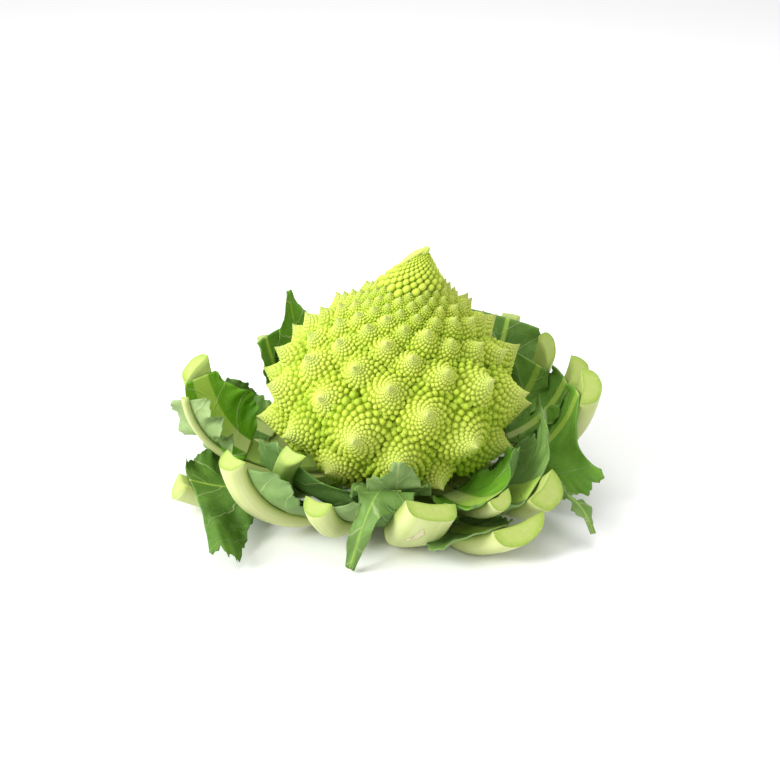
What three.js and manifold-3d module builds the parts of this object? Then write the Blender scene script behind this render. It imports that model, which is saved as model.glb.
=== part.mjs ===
// A romanesco head with its trimmed wrapper leaves, standing on the cut face of its stalk. Millimetres,
// +Z up. The origin is the middle of the stalk's cut face, and -Y is the front. The curd is one body:
// its skin has a cell for each place of a golden-angle spiral, and a cell holds a cone of buds, the
// floret, or near the tip a single bud. Each leaf is a thick pale rib, cut across at its outer end, and
// a thin waved blade on the rib's inner face.
import * as THREE from "three";
import Module from "manifold-3d";

const wasm = await Module();
wasm.setup();

const TURN = 2 * Math.PI;
const DEG = Math.PI / 180;
const GOLDEN = Math.PI * (3 - Math.sqrt(5));

// Driving dimensions of the curd
const APEX_HEIGHT = 153;
const APEX_LEAN = 18; // sideways shift of the apex, towards +X
const LEAN_START = 40; // height where the lean begins
const CONE_ANGLE = 37 * DEG; // half-angle of the upper curd, between the florets
const CONE_SLANT = 94; // length of that straight flank
const SHOULDER_RADIUS = 31; // the flank rolls under on this arc
const SHOULDER_TURN = 88 * DEG;
const PITCH_SHARES = [0.185, 0.265]; // least and most distance between florets, as a share of their slant
const PITCH_SLANTS = [25, 75]; // the share grows between these slants
const LARGEST_PITCH = 28;
const TIP_SLANT = 44; // above this each cell of the spiral is a single bud
const TIP_BUD_SLANT = 6.5; // the bud next to the apex
const TIP_BUD_HEIGHT = [0.4, 0.7]; // of the buds at the apex, and of the ones next to the florets
const FIRST_FLORET_ANGLE = -98 * DEG;
const CURD_SPIRALS = [8, 13];
const HOLLOW_DEPTH = 0.16; // the hollows between florets, below the flank, as a share of the pitch
const TOP_TILT = 66 * DEG; // elevation that the florets point in, near the tip and at the rim
const RIM_TILT = -28 * DEG;
const TILT_SPREAD = 8 * DEG; // florets stray this far from it, up, down and sideways
const TILT_START = 20; // the slant where they begin to turn down
const STRAY_LENGTH = 40; // and the distance from there over which their straying grows to the full spread
const PITCH_SPREAD = [0.9, 1.12]; // the smallest and the largest floret, next to their neighbours

// Driving dimensions of a floret, as shares of its pitch where they are shares
const FLORET_HALF_ANGLE = 38 * DEG;
const FLORET_HEIGHT = 0.79; // above the flank
const FLORET_RIM = 0.5; // radius of the lowest buds
const FLORET_HOOK = 0.15; // how far its tip is bent up, across its axis
const FLORET_SPIRALS = [3, 5];
const FLORET_GRADES = [
  { from: 23, buds: 16, growth: 0.095 },
  { from: 0, buds: 8, growth: 0.14 },
];
const BUD_BULGE = 0.13; // height of a bud, as a share of its distance from the floret's tip
const BUD_HOLLOW = 0.4; // depth of the hollows between buds, as a share of the bulge
const SEAT_RADIUS = 26; // where the curd's underside meets the stalk
const SEAT_SIDES = 16;

// Driving dimensions of the stalk and the leaves
const STALK_RADIUS = 23;
const STALK_TOP = 33;
const STALK_GAP = 0.3; // between the stalk and what grows from it
const STALK_SIDES = 24;
const STALK_EDGES = [1.5, 2, 4]; // bevel of the cut face, inset of the top, height of the slope up to it
const BLADE_THICKNESS = 1;
const BLADE_GAP = 0.45; // between a blade and its rib
const BLADE_ROWS = 6;
const BLADE_COLUMNS = 3; // on each side of the rib
const RIB_ROOT = [10, 6]; // width and depth where a rib leaves the stalk
const RIB_GROWTH = 0.85; // share of the rib's length over which it reaches its full size
const CUT_REACH = 0.14; // a rib with a slanted cut runs this share of its path past it, before it is cut
const FLOOR_GAP = 0.3; // the leaves stay this far above the plane that the stalk stands on
const NARROW_RIB = [1.2, 0.4]; // least distance from a blade's middle to its sides, and its share past ribTo
const EDGE_SPREAD = [0.86, 1.12]; // a blade's width at a place, between these shares of the one given
const CLEARANCE = 0.28; // between one leaf and the next
// The room round the curd and the stalk: how much larger they are made about a point of the axis at
// this height
const CURD_ROOM = [0.012, 62];
const STALK_ROOM = [0.013, 10];

// Section of a rib, flat on its inner face: across and down, as shares of its width and depth.
const RIB_SECTION = [[-0.5, 0], [0.5, 0], [0.46, 0.48], [0.2, 1], [-0.2, 1], [-0.46, 0.48]];

// The leaves, from the lowest on the stalk to the highest. A path has four control points: distance
// from the axis, azimuth in degrees and height. The leaf turns about it by the roll in degrees. The rib
// follows it up to ribTo, and its width and depth are those of its cut end. A slanted cut faces an
// azimuth and an elevation in degrees. The blade runs between two shares of the path. Its widths beyond
// the rib are towards greater azimuth (ccw) and towards smaller azimuth (cw), and it bends up from the
// rib by the cup angles in degrees (down, if negative). Its wave has an amplitude, a number of waves
// and the share of a wave that it starts at.
const LEAVES = [
  {
    name: "02", path: [[24, 200, 6], [70, 200, 5], [106, 201, 8], [133, 200, 24]], rib: [17, 13],
    blade: [0.42, 0.95], ccw: [10, 22, 38, 60, 66], cw: [6, 14, 22, 22, 12],
    cup: [-15, 40], wave: [4, 2.2, 0.1],
  },
  {
    name: "03", path: [[24, 236, 7], [82, 238, 3], [118, 224, 18], [120, 222, 58]], rib: [15.5, 11],
    cut: [240, 68], blade: [0.3, 0.94], ccw: [10, 20, 28, 27, 16], cw: [3, 8, 12, 14, 10],
    cup: [35, 10], wave: [2.5, 2, 0.3],
  },
  {
    name: "07", path: [[24, 274, 7], [70, 272, 4], [86, 273, 5], [103, 281, 40]], rib: [31, 13],
    blade: [0.4, 0.88], ccw: [6, 14, 18, 14, 8], cw: [4, 10, 12, 10, 6], cup: [20, 40],
    wave: [2, 2, 0.6],
  },
  {
    name: "11", path: [[24, 296, 7], [66, 292, 4], [98, 292, 4], [119, 305, 25]], rib: [20, 13],
    cut: [285, 35], blade: [0.38, 0.9], ccw: [4, 12, 16, 14, 8], cw: [5, 16, 22, 20, 10], cup: [25, -5],
    wave: [2, 2, 0.8],
  },
  {
    name: "12", path: [[24, 330, 8], [82, 332, 8], [118, 330, 40], [139, 324, 8]], rib: [7, 4],
    ribTo: 0.55, blade: [0.42, 1], ccw: [3, 8, 9, 6, 1, 1, 4, 5, 1.5],
    cw: [3, 8, 9, 6, 1, 1, 5, 4, 1.5], cup: [-20, 30], wave: [2.5, 2.5, 0.2],
  },
  {
    name: "13", path: [[24, 352, 8], [70, 352, 7], [102, 353, 22], [111, 355, 67]], rib: [14, 13],
    roll: 12, cut: [285, 40], blade: [0.32, 0.97], ccw: [5, 10, 14, 12, 6], cw: [14, 28, 40, 42, 32],
    cup: [45, -80], wave: [3, 2.5, 0.4],
  },
  {
    name: "21", path: [[24, 72, 7], [72, 72, 6], [102, 72, 16], [113, 70, 58]], rib: [22, 12],
    blade: [0.46, 0.92], ccw: [5, 18, 25, 24, 16], cw: [5, 24, 34, 30, 18], cup: [30, 35],
    wave: [3, 2, 0.5],
  },
  {
    name: "22", path: [[24, 112, 7], [72, 112, 6], [102, 111, 16], [114, 110, 52]], rib: [21, 12],
    blade: [0.46, 0.92], ccw: [5, 24, 34, 32, 20], cw: [5, 18, 25, 23, 15], cup: [30, 35],
    wave: [3, 2, 0.7],
  },
  {
    name: "23", path: [[24, 154, 7], [74, 155, 6], [108, 158, 14], [120, 161, 48]], rib: [20, 12],
    blade: [0.46, 0.92], ccw: [5, 10, 12, 10, 6], cw: [5, 14, 15, 11, 6], cup: [25, 30],
    wave: [2, 2, 0.9],
  },
  {
    name: "19", path: [[24, 184, 6], [74, 188, 5], [120, 190, 22], [125, 188, 64]], rib: [4.5, 3.5],
    roll: 55, blade: [0.6, 0.98], ccw: [8, 13, 14, 13, 9], cw: [8, 12, 16, 15, 8], cup: [20, 25],
    wave: [4, 2.5, 0.6],
  },
  {
    name: "01", path: [[24, 187, 16], [72, 188, 13], [108, 186, 18], [118, 181, 75]], rib: [19, 9],
    roll: -50, cut: [225, 60], blade: [0.54, 0.97], ccw: [3, 4, 4, 4, 3], cw: [8, 18, 19, 10, 3],
    cup: [10, 40], wave: [1.5, 2, 0.2],
  },
  {
    name: "05", path: [[24, 254, 9], [74, 252, 10], [102, 249, 16], [109, 247, 41]], rib: [15, 11],
    cut: [265, 60], blade: [0.32, 0.92], ccw: [8, 14, 18, 17, 10], cw: [4, 8, 9, 8, 5], cup: [55, 35],
    wave: [2.5, 2, 0.3],
  },
  {
    name: "09", path: [[24, 306, 16], [64, 303, 14], [92, 300, 20], [112, 301, 42]], rib: [13, 9],
    roll: 15, cut: [295, 25], blade: [0.33, 0.95], ccw: [16, 30, 36, 33, 20], cw: [6, 14, 18, 17, 10],
    cup: [60, 50], wave: [2.5, 2, 0.1],
  },
  {
    name: "14", path: [[24, 8, 17], [68, 8, 15], [98, 9, 26], [108, 9, 65]], rib: [13, 12],
    cut: [290, 40], blade: [0.4, 0.94], ccw: [5, 16, 22, 22, 16], cw: [3, 8, 10, 10, 6], cup: [30, 20],
    wave: [2, 2, 0.7],
  },
  {
    name: "16", path: [[24, 49, 15], [68, 48, 13], [98, 48, 28], [112, 49, 72]], rib: [12, 8],
    blade: [0.42, 0.985], ccw: [5, 24, 34, 34, 24], cw: [5, 22, 32, 34, 26], cup: [25, 30],
    wave: [3, 2, 0.2],
  },
  {
    name: "17", path: [[24, 144, 18], [66, 145, 15], [88, 146, 28], [97, 147, 71]], rib: [8, 5],
    blade: [0.44, 1], ccw: [3, 6, 8, 8, 6], cw: [5, 18, 25, 25, 20], cup: [25, 20], wave: [2, 2, 0.3],
  },
  {
    name: "04", path: [[24, 224, 17], [74, 216, 12], [92, 217, 20], [93, 233, 58]], rib: [13, 9],
    cut: [250, 55], blade: [0.28, 0.93], ccw: [18, 38, 50, 46, 30], cw: [8, 18, 22, 18, 8],
    cup: [38, 30], wave: [2.5, 2, 0.2],
  },
  {
    name: "10", path: [[24, 326, 18], [70, 318, 14], [98, 315, 20], [118, 314, 42]], rib: [21, 15],
    roll: 25, cut: [295, 25], blade: [0.28, 0.92], ccw: [14, 28, 38, 42, 32], cw: [5, 12, 16, 15, 9],
    cup: [55, 45], wave: [2.5, 2, 0.6],
  },
  {
    name: "06", path: [[24, 266, 15], [62, 266, 15], [108, 266, 73], [113, 257, 3]], rib: [6, 4],
    ribTo: 0.5, blade: [0.38, 1], ccw: [10, 18, 19, 12, 6, 5, 2], cw: [12, 16, 14, 8, 5, 4, 1.5],
    cup: [-25, -10], wave: [4, 2.4, 0.4],
  },
  {
    name: "15", path: [[24, 28, 20], [62, 26, 13], [92, 25, 22], [100, 23, 67]], rib: [12, 9], roll: 25,
    cut: [300, 30], blade: [0.4, 0.93], ccw: [6, 20, 28, 30, 22], cw: [3, 6, 8, 8, 5], cup: [22, 15],
    wave: [2.5, 2, 0.5],
  },
  {
    name: "18", path: [[24, 128, 20], [64, 130, 14], [92, 131, 30], [101, 132, 93]], rib: [7, 4],
    ribTo: 0.8, blade: [0.42, 1], ccw: [5, 16, 19, 13, 1.5], cw: [5, 14, 17, 12, 1.5], cup: [30, 35],
    wave: [2, 2, 0.1],
  },
  {
    name: "08", path: [[24, 272, 26], [62, 271, 17], [84, 270, 24], [94, 271, 60]], rib: [5, 3],
    ribTo: 0.75, blade: [0.36, 1], ccw: [10, 17, 18, 13, 2], cw: [12, 18, 17, 12, 2], cup: [15, 25],
    wave: [2.5, 2.5, 0.8],
  },
];

const finish = (color, roughness) => new THREE.MeshStandardMaterial({ color, roughness, metalness: 0 });
const curdFinish = finish(0xb4cf34, 0.6);
const stalkFinish = finish(0xd3dfa0, 0.65);
const ribFinish = finish(0xc6dc86, 0.5);
const bladeFinish = finish(0x3f7a2c, 0.55);

const mix = (a, b, t) => a + (b - a) * t;
const clamp01 = (t) => Math.min(1, Math.max(0, t));
const smooth = (t) => clamp01(t) ** 2 * (3 - 2 * clamp01(t));
// The same angle, between minus and plus half a turn.
const wrap = (angle) => angle - TURN * Math.round(angle / TURN);
// A number from 0 to 1 that looks random and is the same for the same seed.
const scatter = (seed) => {
  const x = Math.sin(seed * 12.9898 + 4.1414) * 43758.5453;
  return x - Math.floor(x);
};

function solidFrom(vertices, triangles) {
  const vertProperties = new Float32Array(vertices.flatMap((v) => [v.x, v.y, v.z]));
  return new wasm.Manifold(
    new wasm.Mesh({ numProp: 3, vertProperties, triVerts: new Uint32Array(triangles.flat()) }),
  );
}

function meshFrom(name, solid, material) {
  const { numProp, vertProperties, triVerts } = solid.getMesh();
  const geometry = new THREE.BufferGeometry();
  const places = new Float32Array((vertProperties.length / numProp) * 3);
  for (let i = 0; i * numProp < vertProperties.length; i++)
    places.set(vertProperties.subarray(i * numProp, i * numProp + 3), i * 3);
  geometry.setAttribute("position", new THREE.BufferAttribute(places, 3));
  geometry.setIndex(new THREE.BufferAttribute(new Uint32Array(triVerts), 1));
  geometry.computeVertexNormals();
  const mesh = new THREE.Mesh(geometry, material);
  mesh.name = name;
  return mesh;
}

// A growing surface: its vertices, and its triangles as vertex numbers.
class Skin {
  vertices = [];
  triangles = [];
  keyed = new Map();

  add(point, key = Symbol()) {
    if (!this.keyed.has(key)) {
      this.keyed.set(key, this.vertices.length);
      this.vertices.push(point);
    }
    return this.keyed.get(key);
  }

  // Triangles from each edge of a loop to a middle vertex.
  fan(loop, middle) {
    loop.forEach((a, i) => this.triangles.push([a, loop[(i + 1) % loop.length], middle]));
  }

  // Triangles between two loops that run the same way round an axis. angleOf gives a vertex's angle.
  stitch(outer, inner, angleOf) {
    const start = angleOf(this.vertices[outer[0]]);
    const turnOf = (i) => (((angleOf(this.vertices[i]) - start) % TURN) + TURN) % TURN;
    const first = inner.reduce((best, i) => (turnOf(i) < turnOf(best) ? i : best));
    const at = inner.indexOf(first);
    const inside = [...inner.slice(at), ...inner.slice(0, at), first];
    const outside = [...outer, outer[0]];
    const turns = (loop) =>
      loop.map((i, n) => (n === loop.length - 1 ? TURN + turnOf(loop[0]) : turnOf(i)));
    const [outTurns, inTurns] = [turns(outside), turns(inside)];
    for (let o = 0, i = 0; o + 1 < outside.length || i + 1 < inside.length; ) {
      const innerDone = i + 1 === inside.length;
      const outerNext = o + 1 < outside.length && (innerDone || outTurns[o + 1] <= inTurns[i + 1]);
      if (outerNext) this.triangles.push([outside[o], outside[++o], inside[i]]);
      else this.triangles.push([outside[o], inside[i + 1], inside[i++]]);
    }
  }
}

// The loop of edges round the outside of a patch, where each edge is used by only one triangle of it.
function rimOf(triangles) {
  const edges = new Set(triangles.flatMap(([a, b, c]) => [`${a},${b}`, `${b},${c}`, `${c},${a}`]));
  const next = new Map();
  for (const edge of edges) {
    const [a, b] = edge.split(",").map(Number);
    if (!edges.has(`${b},${a}`)) next.set(a, b);
  }
  const loops = [];
  while (next.size) {
    const loop = [];
    let at = next.keys().next().value;
    while (next.has(at)) {
      loop.push(at);
      const to = next.get(at);
      next.delete(at);
      at = to;
    }
    loops.push(loop);
  }
  return loops;
}

// Buds in a golden-angle spiral line up in p spirals one way and q the other. Bud k sits inside four
// corners, which are the hollows between it and its neighbours. A hollow's place is half way to bud k +
// p + q.
const hollowIndex = (k, [p, q]) => k + (p + q) / 2;
const hollowAngle = (k, [p, q]) => k * GOLDEN + (wrap(p * GOLDEN) + wrap(q * GOLDEN)) / 2;
const hollowsRound = (k, [p, q]) => [k, k - q, k - p - q, k - p];

// The surface between the florets, at a slant distance from the apex: its radius and height, and how
// steeply it falls.
function flank(slant) {
  const straight = Math.min(slant, CONE_SLANT);
  const angle = CONE_ANGLE - Math.max(0, slant - CONE_SLANT) / SHOULDER_RADIUS;
  return {
    radius: straight * Math.sin(CONE_ANGLE) + SHOULDER_RADIUS * (Math.cos(angle) - Math.cos(CONE_ANGLE)),
    height: APEX_HEIGHT - straight * Math.cos(CONE_ANGLE)
      - SHOULDER_RADIUS * (Math.sin(CONE_ANGLE) - Math.sin(angle)),
    angle,
  };
}
const END_SLANT = CONE_SLANT + SHOULDER_RADIUS * SHOULDER_TURN;

// The distance between florets at this slant.
function pitchAt(slant) {
  const [from, to] = PITCH_SLANTS;
  return Math.min(slant * mix(...PITCH_SHARES, smooth((slant - from) / (to - from))), LARGEST_PITCH);
}

// The slant distances of the buds, from the rim of the curd up to its tip: each cell of the spiral
// takes the area that its pitch needs.
function slants() {
  const cell = Math.sqrt(3) / 2; // area of a cell, in square pitches
  const found = [];
  for (let slant = END_SLANT; slant > TIP_BUD_SLANT; ) {
    found.push(slant);
    slant -= (cell * pitchAt(slant) ** 2) / (TURN * flank(slant).radius);
  }
  return found.reverse();
}
const SLANTS = slants();

// The slant at a place in the spiral that may lie between two buds, or past either end of it.
function slantAt(k) {
  if (k < 0) return SLANTS[0] * (SLANTS[1] / SLANTS[0]) ** k;
  const before = Math.min(Math.floor(k), SLANTS.length - 2);
  return mix(SLANTS[before], SLANTS[before + 1], k - before);
}

// A point of the curd, out along the surface's normal from the place k turns of the spiral give.
function onFlank(slant, angle, out = 0) {
  const at = flank(slant);
  const radius = at.radius + out * Math.cos(at.angle);
  return new THREE.Vector3(
    radius * Math.cos(angle), radius * Math.sin(angle), at.height + out * Math.sin(at.angle),
  );
}
const curdAngle = (k) => FIRST_FLORET_ANGLE + k * GOLDEN;

// The direction that a floret at this slant points in: its elevation above the horizon.
const floretTilt = (slant) =>
  mix(TOP_TILT, RIM_TILT, clamp01((slant - TILT_START) / (END_SLANT - TILT_START)) ** 1.5);

// A floret's own frame: the origin is on the flank, and +Z points to its tip.
function floretFrame(slant, angle, seed) {
  const { radius, height } = flank(slant);
  const spread = TILT_SPREAD * clamp01((slant - TILT_START) / STRAY_LENGTH);
  const stray = (salt) => mix(-spread, spread, scatter(seed + salt));
  return new THREE.Matrix4()
    .makeRotationZ(angle)
    .multiply(new THREE.Matrix4().makeTranslation(radius, 0, height))
    .multiply(new THREE.Matrix4().makeRotationZ(stray(0.3)))
    .multiply(new THREE.Matrix4().makeRotationY(Math.PI / 2 - floretTilt(slant) - stray(0.6)));
}

// The side of a floret, k buds from its tip: radius and height in its frame.
function floretSide(k, isBud, pitch, buds, growth) {
  const height = FLORET_HEIGHT * pitch;
  const rim = (FLORET_RIM * pitch) / Math.sin(FLORET_HALF_ANGLE);
  const along = Math.min(rim, rim * Math.exp(growth * (k - buds + 2)));
  const out = along * BUD_BULGE * (isBud ? 1 : -BUD_HOLLOW);
  return {
    radius: along * Math.sin(FLORET_HALF_ANGLE) + out * Math.cos(FLORET_HALF_ANGLE),
    height: height - along * Math.cos(FLORET_HALF_ANGLE) + out * Math.sin(FLORET_HALF_ANGLE),
  };
}

// A point of a floret, in its frame, with its upper part bent up.
function hooked(x, y, z, pitch) {
  const share = clamp01(z / (FLORET_HEIGHT * pitch));
  return new THREE.Vector3(x - FLORET_HOOK * pitch * share ** 2, y, z);
}

// A floret inside its loop of hollows: a cone of buds in spirals, stitched to the loop.
function addFloret(skin, loop, slant, angle, pitch, seed) {
  const { buds, growth } = FLORET_GRADES.find((grade) => pitch >= grade.from);
  const frame = floretFrame(slant, angle, seed);
  const spin = scatter(seed) * TURN;
  const place = (k, isBud, round) => {
    const { radius, height } = floretSide(k, isBud, pitch, buds, growth);
    return hooked(radius * Math.cos(round + spin), radius * Math.sin(round + spin), height, pitch)
      .applyMatrix4(frame);
  };
  const cone = [];
  const hollow = (k) => skin.add(
    place(hollowIndex(k, FLORET_SPIRALS), false, hollowAngle(k, FLORET_SPIRALS)), `${seed} hollow ${k}`,
  );
  for (let k = 0; k < buds; k++) {
    const corners = hollowsRound(k, FLORET_SPIRALS).map(hollow);
    const top = skin.add(place(k, true, k * GOLDEN));
    corners.forEach((corner, i) => cone.push([top, corner, corners[(i + 1) % 4]]));
  }
  skin.triangles.push(...cone);
  const toFloret = frame.clone().invert();
  const angleOf = (point) => {
    const local = point.clone().applyMatrix4(toFloret);
    return Math.atan2(local.y, local.x);
  };
  const radiusOf = (rim) => Math.max(...rim.map((i) => {
    const local = skin.vertices[i].clone().applyMatrix4(toFloret);
    return Math.hypot(local.x, local.y);
  }));
  const [open, rim] = rimOf(cone).sort((a, b) => radiusOf(a) - radiusOf(b));
  skin.fan([...open].reverse(), skin.add(hooked(0, 0, FLORET_HEIGHT * pitch, pitch).applyMatrix4(frame)));
  skin.stitch(loop, rim, angleOf);
}

// The top of a single bud near the tip of the curd.
function tipBud(slant, angle, pitch, seed) {
  const share = smooth((slant - TIP_BUD_SLANT) / (TIP_SLANT - TIP_BUD_SLANT));
  const height = mix(...TIP_BUD_HEIGHT, share) * pitch;
  const pointed = new THREE.Vector3(0, 0, height).applyMatrix4(floretFrame(slant, angle, seed));
  return onFlank(slant, angle, height).lerp(pointed, share);
}

// The curd: each cell of the big spiral holds a floret, or a single bud near the tip.
function curdSkin() {
  const skin = new Skin();
  const hollow = (k) => {
    const slant = slantAt(hollowIndex(k, CURD_SPIRALS));
    const out = -HOLLOW_DEPTH * pitchAt(slant);
    return skin.add(onFlank(slant, FIRST_FLORET_ANGLE + hollowAngle(k, CURD_SPIRALS), out), `hollow ${k}`);
  };
  const between = (a, b) => {
    const point = skin.vertices[a].clone().lerp(skin.vertices[b], 0.5);
    return skin.add(point, `edge ${Math.min(a, b)} ${Math.max(a, b)}`);
  };
  const cells = [];
  for (let k = 0; k < SLANTS.length; k++) {
    const corners = hollowsRound(k, CURD_SPIRALS).map(hollow);
    const loop = corners.flatMap((a, i) => [a, between(a, corners[(i + 1) % 4])]);
    loop.forEach((a, i) => cells.push([a, loop[(i + 1) % loop.length], -1 - k]));
    const slant = SLANTS[k];
    const pitch = pitchAt(slant) * mix(...PITCH_SPREAD, scatter(k));
    if (slant < TIP_SLANT) skin.fan(loop, skin.add(tipBud(slant, curdAngle(k), pitch, k)));
    else addFloret(skin, loop, slant, curdAngle(k), pitch, k);
  }
  const heightOf = (loop) => loop.reduce((sum, i) => sum + skin.vertices[i].z, 0) / loop.length;
  const [tip, rim] = rimOf(cells).sort((a, b) => heightOf(b) - heightOf(a));
  skin.fan([...tip].reverse(), skin.add(new THREE.Vector3(0, 0, APEX_HEIGHT)));
  closeUnderside(skin, rim);
  return skin;
}

// The underside of the curd: in to a ring that seats on the stalk, and flat across it.
function closeUnderside(skin, rim) {
  const height = STALK_TOP + STALK_GAP;
  const seat = Array.from({ length: SEAT_SIDES }, (_, i) => {
    const angle = (i / SEAT_SIDES) * TURN;
    const [x, y] = [SEAT_RADIUS * Math.cos(angle), SEAT_RADIUS * Math.sin(angle)];
    return skin.add(new THREE.Vector3(x, y, height));
  });
  skin.stitch(seat, rim, (point) => Math.atan2(point.y, point.x));
  skin.fan([...seat].reverse(), skin.add(new THREE.Vector3(0, 0, height)));
}

// A lathe's seam and poles are doubled vertices. They are joined by place.
function latheSolid(geometry) {
  const position = geometry.getAttribute("position");
  const index = new Map();
  const vertices = [];
  const ids = Array.from({ length: position.count }, (_, i) => {
    const at = new THREE.Vector3().fromBufferAttribute(position, i);
    const key = [at.x, at.y, at.z].map((c) => Math.round(c * 1e3)).join();
    if (!index.has(key)) {
      index.set(key, vertices.length);
      vertices.push(at);
    }
    return index.get(key);
  });
  const triangles = [];
  for (let i = 0; i < geometry.index.count; i += 3) {
    const [a, b, c] = [0, 1, 2].map((j) => ids[geometry.index.getX(i + j)]);
    if (a !== b && b !== c && c !== a) triangles.push([a, b, c]);
  }
  return solidFrom(vertices, triangles);
}

const lean = (p) => {
  const share = clamp01((p.z - LEAN_START) / (APEX_HEIGHT - LEAN_START));
  return new THREE.Vector3(p.x + APEX_LEAN * share ** 3, p.y, p.z);
};

function curdSolid() {
  const { vertices, triangles } = curdSkin();
  return solidFrom(vertices.map(lean), triangles);
}

function stalkSolid() {
  const [bevel, inset, slope] = STALK_EDGES;
  const profile = [
    [0, 0], [STALK_RADIUS - bevel, 0], [STALK_RADIUS, bevel], [STALK_RADIUS, STALK_TOP - slope],
    [STALK_RADIUS - inset, STALK_TOP], [0, STALK_TOP],
  ].map(([x, y]) => new THREE.Vector2(x, y));
  return latheSolid(new THREE.LatheGeometry(profile, STALK_SIDES).rotateX(Math.PI / 2));
}

// A smooth curve through equally spaced values.
function through(values, t) {
  const at = clamp01(t) * (values.length - 1);
  const i = Math.min(Math.floor(at), values.length - 2);
  const last = values.length - 1;
  const [a, b, c, d] = [i - 1, i, i + 1, i + 2].map((n) => values[Math.min(Math.max(n, 0), last)]);
  const u = at - i;
  return b + 0.5 * u * (c - a + u * (2 * a - 5 * b + 4 * c - d + u * (3 * (b - c) + d - a)));
}

// The frame at a share of a leaf's path, which runs on past 1: its place, tangent, direction across and
// inner normal.
function leafFrame({ path, roll = 0 }, t) {
  const [a, b, c, d] = path.map(([radius, azimuth, height]) =>
    new THREE.Vector3(radius * Math.cos(azimuth * DEG), radius * Math.sin(azimuth * DEG), height));
  const s = 1 - t;
  const at = new THREE.Vector3()
    .addScaledVector(a, s ** 3)
    .addScaledVector(b, 3 * s * s * t)
    .addScaledVector(c, 3 * s * t * t)
    .addScaledVector(d, t ** 3);
  const tangent = new THREE.Vector3()
    .addScaledVector(b.sub(a), s * s)
    .addScaledVector(c.clone().sub(a).sub(b), 2 * s * t)
    .addScaledVector(d.sub(c), t * t)
    .normalize();
  const across = new THREE.Vector3(-at.y, at.x, 0).normalize();
  across.addScaledVector(tangent, -across.dot(tangent)).normalize();
  across.applyAxisAngle(tangent, roll * DEG * smooth(t));
  return { at, tangent, across, normal: new THREE.Vector3().crossVectors(tangent, across) };
}

// Width and depth of a rib at a share of its path.
const ribSize = ({ rib, ribTo = 1 }, t) =>
  rib.map((size, i) => mix(RIB_ROOT[i], size, smooth(t / ribTo / RIB_GROWTH)));

// A solid of a leaf, cut off along the plane of the leaf's slanted cut, if it has one.
function cutOff(leaf, solid, extra) {
  if (!leaf.cut) return solid;
  const [azimuth, elevation] = leaf.cut.map((angle) => angle * DEG);
  const facing = new THREE.Vector3(
    Math.cos(elevation) * Math.cos(azimuth), Math.cos(elevation) * Math.sin(azimuth), Math.sin(elevation),
  );
  const offset = facing.dot(leafFrame(leaf, 1).at) + extra;
  return solid.trimByPlane(facing.negate().toArray(), -offset);
}

// The shares of its path where a leaf's blade has its rows.
const bladeRows = ({ blade: [from, to] }) =>
  Array.from({ length: BLADE_ROWS + 1 }, (_, row) => mix(from, to, row / BLADE_ROWS));

// The rib has a section at each row of its blade, so both bend alike.
function ribSolid(leaf, extra = 0) {
  const ribTo = leaf.cut ? 1 + CUT_REACH : leaf.ribTo ?? 1;
  const stalkEnd = leaf.blade[0] / 2;
  const shares = [0, stalkEnd, ...bladeRows(leaf).filter((t) => t < ribTo - 0.02), ribTo];
  const vertices = [];
  const triangles = [];
  const sides = RIB_SECTION.length;
  const rows = shares.length - 1;
  for (let row = 0; row <= rows; row++) {
    const t = shares[row];
    const { at, tangent, across, normal } = leafFrame(leaf, t);
    const [width, depth] = ribSize(leaf, t);
    const end = row === 0 ? -extra : row === rows ? extra : 0;
    for (const [x, y] of RIB_SECTION) {
      const point = at.clone()
        .addScaledVector(across, x * (width + 2 * extra))
        .addScaledVector(normal, extra - y * (depth + 2 * extra))
        .addScaledVector(tangent, end);
      point.z = Math.max(point.z, FLOOR_GAP - extra);
      vertices.push(point);
    }
  }
  for (let row = 0; row < rows; row++)
    for (let i = 0; i < sides; i++) {
      const [a, b] = [row * sides + i, row * sides + ((i + 1) % sides)];
      triangles.push([a, b + sides, b], [a, a + sides, b + sides]);
    }
  const last = rows * sides;
  for (let i = 1; i + 1 < sides; i++) triangles.push([0, i, i + 1], [last, last + i + 1, last + i]);
  return cutOff(leaf, solidFrom(vertices, triangles), extra);
}

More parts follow.
